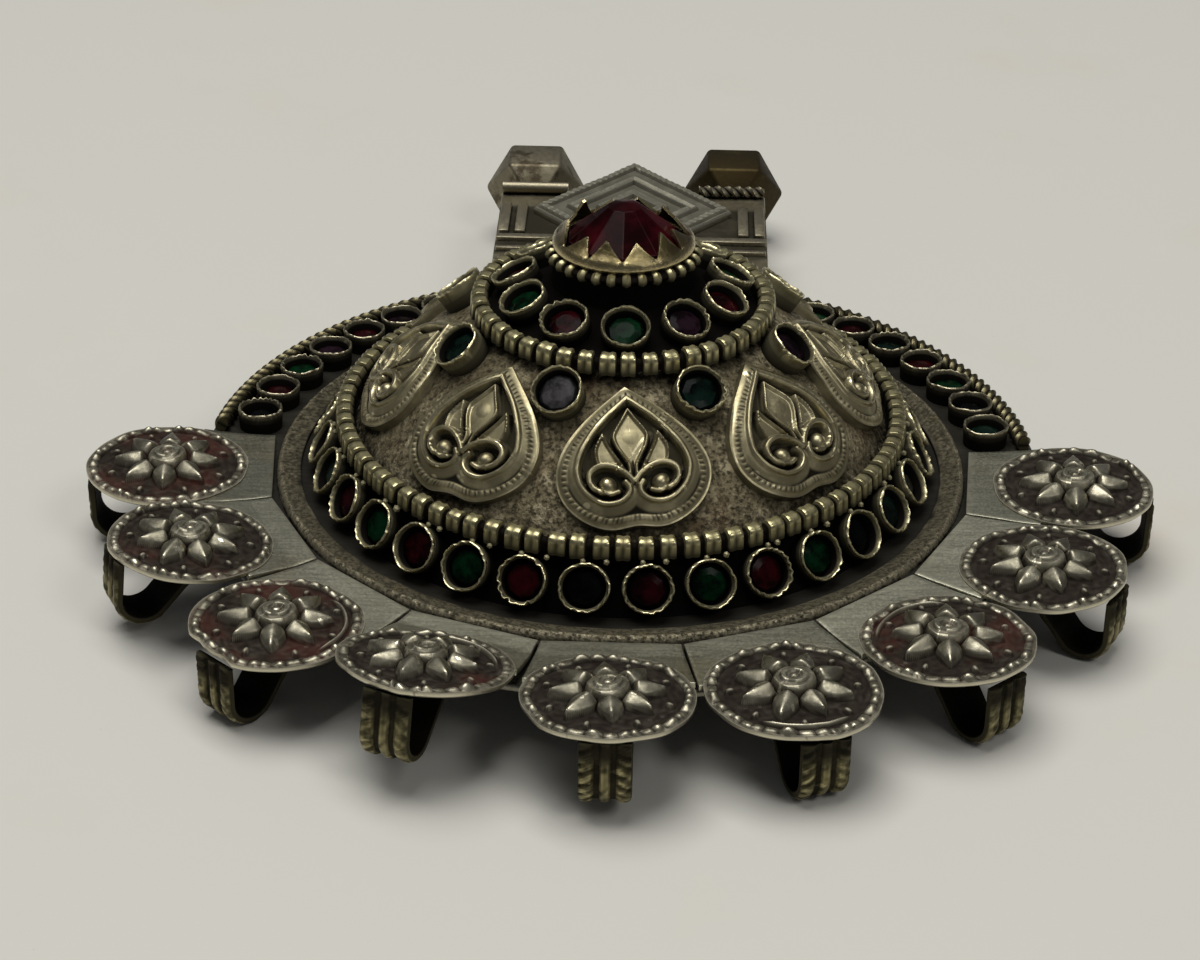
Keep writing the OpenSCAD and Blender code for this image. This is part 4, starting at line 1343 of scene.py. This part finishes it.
# The strips on the right half of the block's top: from and to, across and backwards
STRIPS = ((14.1, 15.3, 49, 57), (12.2, 13.4, 49, 57), (7.5, 15.4, 47, 48.2), (7.5, 15.3, 44.2, 44.9))
bm = painted_dark(bail_body(), bail_soot)
for side in (-1, 1):
    for low, high, from_y, to_y in STRIPS:
        first, last = sorted((side * low, side * high))
        joined(bm, laid_strip((first, from_y, bail_top - 0.3), (last, to_y, bail_top + 0.48)))
bail_metal = worked_metal("bail silver", (0.42, 0.375, 0.26), (0.17, 0.15, 0.1), shine=(0.34, 0.52),
                          reach=1.2, recess=(0.25, 0.6), edges=(0.505, 0.56), breakup=0.6,
                          cloud=(260, 0.45, 0.7), grain=(2200, 0.25),
                          tint=((0.25, 0.19, 0.08), 200, 0.55, 0.75, 0.5))
soldered("bail_block", bm, "dark_silver", "bail_box", bail_metal, sharp=25)

# The diamond plate on the bail.
# A flat lozenge of grey silver, chased with three frames round a small boss. The outer frame is
# hatched across.
DIAMOND_STEPS = 192
DIAMOND_BANDS = [0, 0.16, 0.34, 0.5, 0.75, 1, 1.25, 1.4, 1.55, 1.8, 2.4, 2.85, 3, 3.15, 3.5, 3.85, 4, 4.15,
                 4.8, 5.45, 5.6, 5.75, 6.1, 6.45, 6.6, 6.75, 7.3, 7.9, 8.3]
diamond_middle = Vector((0, 55.1))
diamond_half = (11.5, 13.4)
diamond_deep = diamond_half[0] * diamond_half[1] / hypot(*diamond_half)


def chased(deep, step):
    """Height over the block and blackness, for a depth inside the plate's edge."""
    frame_1 = plateau(deep, 0.34, 0.5, 1.25, 1.4)
    frame_2 = plateau(deep, 2.85, 3, 4, 4.15)
    frame_3 = plateau(deep, 5.45, 5.6, 6.6, 6.75)
    split = fade(abs(deep - 3.5), 0.1, 0.3)
    hatch = 0.5 + 0.5 * cos(tau * (step + deep * 1.5) / 3)
    boss = smooth(deep, 7.5, 8.1)
    height = 0.75 + 0.45 * max(frame_1 * (1 - 0.25 * hatch), frame_2 * (1 - 0.6 * split), frame_3, boss * 0.7)
    black = max(0.6 * fade(height, 0.78, 0.98), 0.3 * frame_1 * hatch) * smooth(deep, 0.2, 0.4)
    return height, black


outline = [(1 - deep / diamond_deep, 1) for deep in reversed(DIAMOND_BANDS)] + [(1, 0), (0.5, 0), (0, 0)]
bm = spun(outline, DIAMOND_STEPS)
layer = bm.verts.layers.float.new("hollow")
corners = [Vector((x * diamond_half[0], y * diamond_half[1])) for x, y in ((0, -1), (1, 0), (0, 1), (-1, 0))]
for vert in bm.verts:
    step = step_round(vert.co, DIAMOND_STEPS)
    side, part = divmod(step * 4 / DIAMOND_STEPS, 1)
    edge = corners[int(side)].lerp(corners[(int(side) + 1) % 4], part)
    share = from_axis(vert.co)
    point = diamond_middle + edge * share
    height = 0.0
    if vert.co.z > 0.9:
        height, vert[layer] = chased((1 - share) * diamond_deep, step)
        height -= 0.25 * fade((1 - share) * diamond_deep, 0, 0.16)
    vert.co = (*point, bail_top + height + 0.04 * chance(point.x / 40, point.y / 40) - 0.02 * (height > 0.1))
plate_metal = worked_metal("grey diamond silver", (0.6, 0.575, 0.45), (0.3, 0.288, 0.222),
                           shine=(0.3, 0.46), reach=0.8, edges=(0.5, 0.55), breakup=0.5,
                           cloud=(300, 0.4, 0.7), grain=(2800, 0.15))
soldered("chased_diamond", bm, "grey_plate", "diamond_plate", plate_metal, sharp=50)

# The wires along the bail's rear edge.
# A short length of wire lies on each side of the diamond plate: the right one is twisted of two
# strands, the left one is worn nearly smooth.
edge_wire_y = 60.75
edge_wire_half = 0.7
edge_wire_z = bail_top + edge_wire_half
edge_wire_from, edge_wire_to = 7.7, 15.4
edge_wire_pitch = 2.4
trim_metal = worked_metal("worn trim wire", (0.3, 0.27, 0.19), (0.13, 0.116, 0.08), shine=(0.38, 0.54),
                          reach=0.7, edges=(0.5, 0.55), cloud=(300, 0.4, 0.7))
for side, first, last, worn in (("left", -edge_wire_to, -edge_wire_from, 0.8),
                                ("right", edge_wire_from, edge_wire_to, 0)):
    section = rope_outline(edge_wire_half)
    if worn:
        turns = [tau * k / 12 for k in range(12)]
        section = [(edge_wire_half * sin(turn), edge_wire_half * cos(turn)) for turn in turns]
    stations = []
    for k in range(61):
        place = Matrix.Translation((first + (last - first) * k / 60, edge_wire_y, edge_wire_z))
        turn = Matrix.Rotation(tau * (last - first) / edge_wire_pitch * k / 60 * (1 - worn), 4, "Z")
        stations.append(place @ Matrix.Rotation(pi / 2, 4, "Y") @ turn)
    bm = painted_dark(drawn(section, stations), lambda co: (1 - worn) * fade(
        hypot(co.y - edge_wire_y, co.z - edge_wire_z) / edge_wire_half, 0.66, 0.84))
    soldered("trim_wire_" + side, bm, "bright_wire", "edge_wire_" + side, trim_metal)

# The knobs behind the bail.
# Two hollow knobs of bronze, faceted like a die with its corners cut off, each on a short round
# neck. The left one has gone brownish grey, the right one dark brown with rubbed edges.
knob_half = 4.3
knob_x = 11.9
knob_y = 68.78
knob_z = 6.2
neck_r = 2.2
knob_wear = {"reach": 1.5, "recess": (0.4, 0.8), "grain": (1800, 0.4)}
knob_metals = {
    "left": worked_metal("grey knob bronze", (0.42, 0.38, 0.27), (0.2, 0.178, 0.122), shine=(0.3, 0.5),
                         edges=(0.52, 0.6), cloud=(420, 0.4, 0.65),
                         tint=((0.07, 0.052, 0.03), 330, 0.48, 0.62, 0.8), **knob_wear),
    "right": worked_metal("dark knob bronze", (0.34, 0.285, 0.11), (0.035, 0.024, 0.011),
                          shine=(0.34, 0.52), edges=(0.53, 0.6), cloud=(260, 0.62, 0.85),
                          tint=((0.13, 0.1, 0.03), 260, 0.55, 0.75, 0.5), **knob_wear),
}
for side, across in (("left", -knob_x), ("right", knob_x)):
    bm = bmesh.new()
    bmesh.ops.create_cube(bm, size=knob_half * 2)
    bevelled(bm, bm.verts[:], knob_half, segments=1, at="VERTICES")
    bmesh.ops.remove_doubles(bm, verts=bm.verts, dist=0.05)
    bevelled(bm, bm.edges[:], 0.28, segments=3)
    place = Matrix.Translation((across, knob_y, knob_z)) @ Matrix.Rotation(pi / 4, 4, "Z")
    bmesh.ops.transform(bm, matrix=place, verts=bm.verts)
    neck = spun([(0, 0), (neck_r, 0), (neck_r - 0.25, 0.9), (neck_r, 1.9), (neck_r, 3.2), (0, 3.2)], 28)
    joined(bm, neck, Matrix.Translation((across, bail_to, knob_z)) @ Matrix.Rotation(-pi / 2, 4, "X"))
    soldered("faceted_knob_" + side, bm, "knob_bronze", "knob_" + side, knob_metals[side], sharp=25)
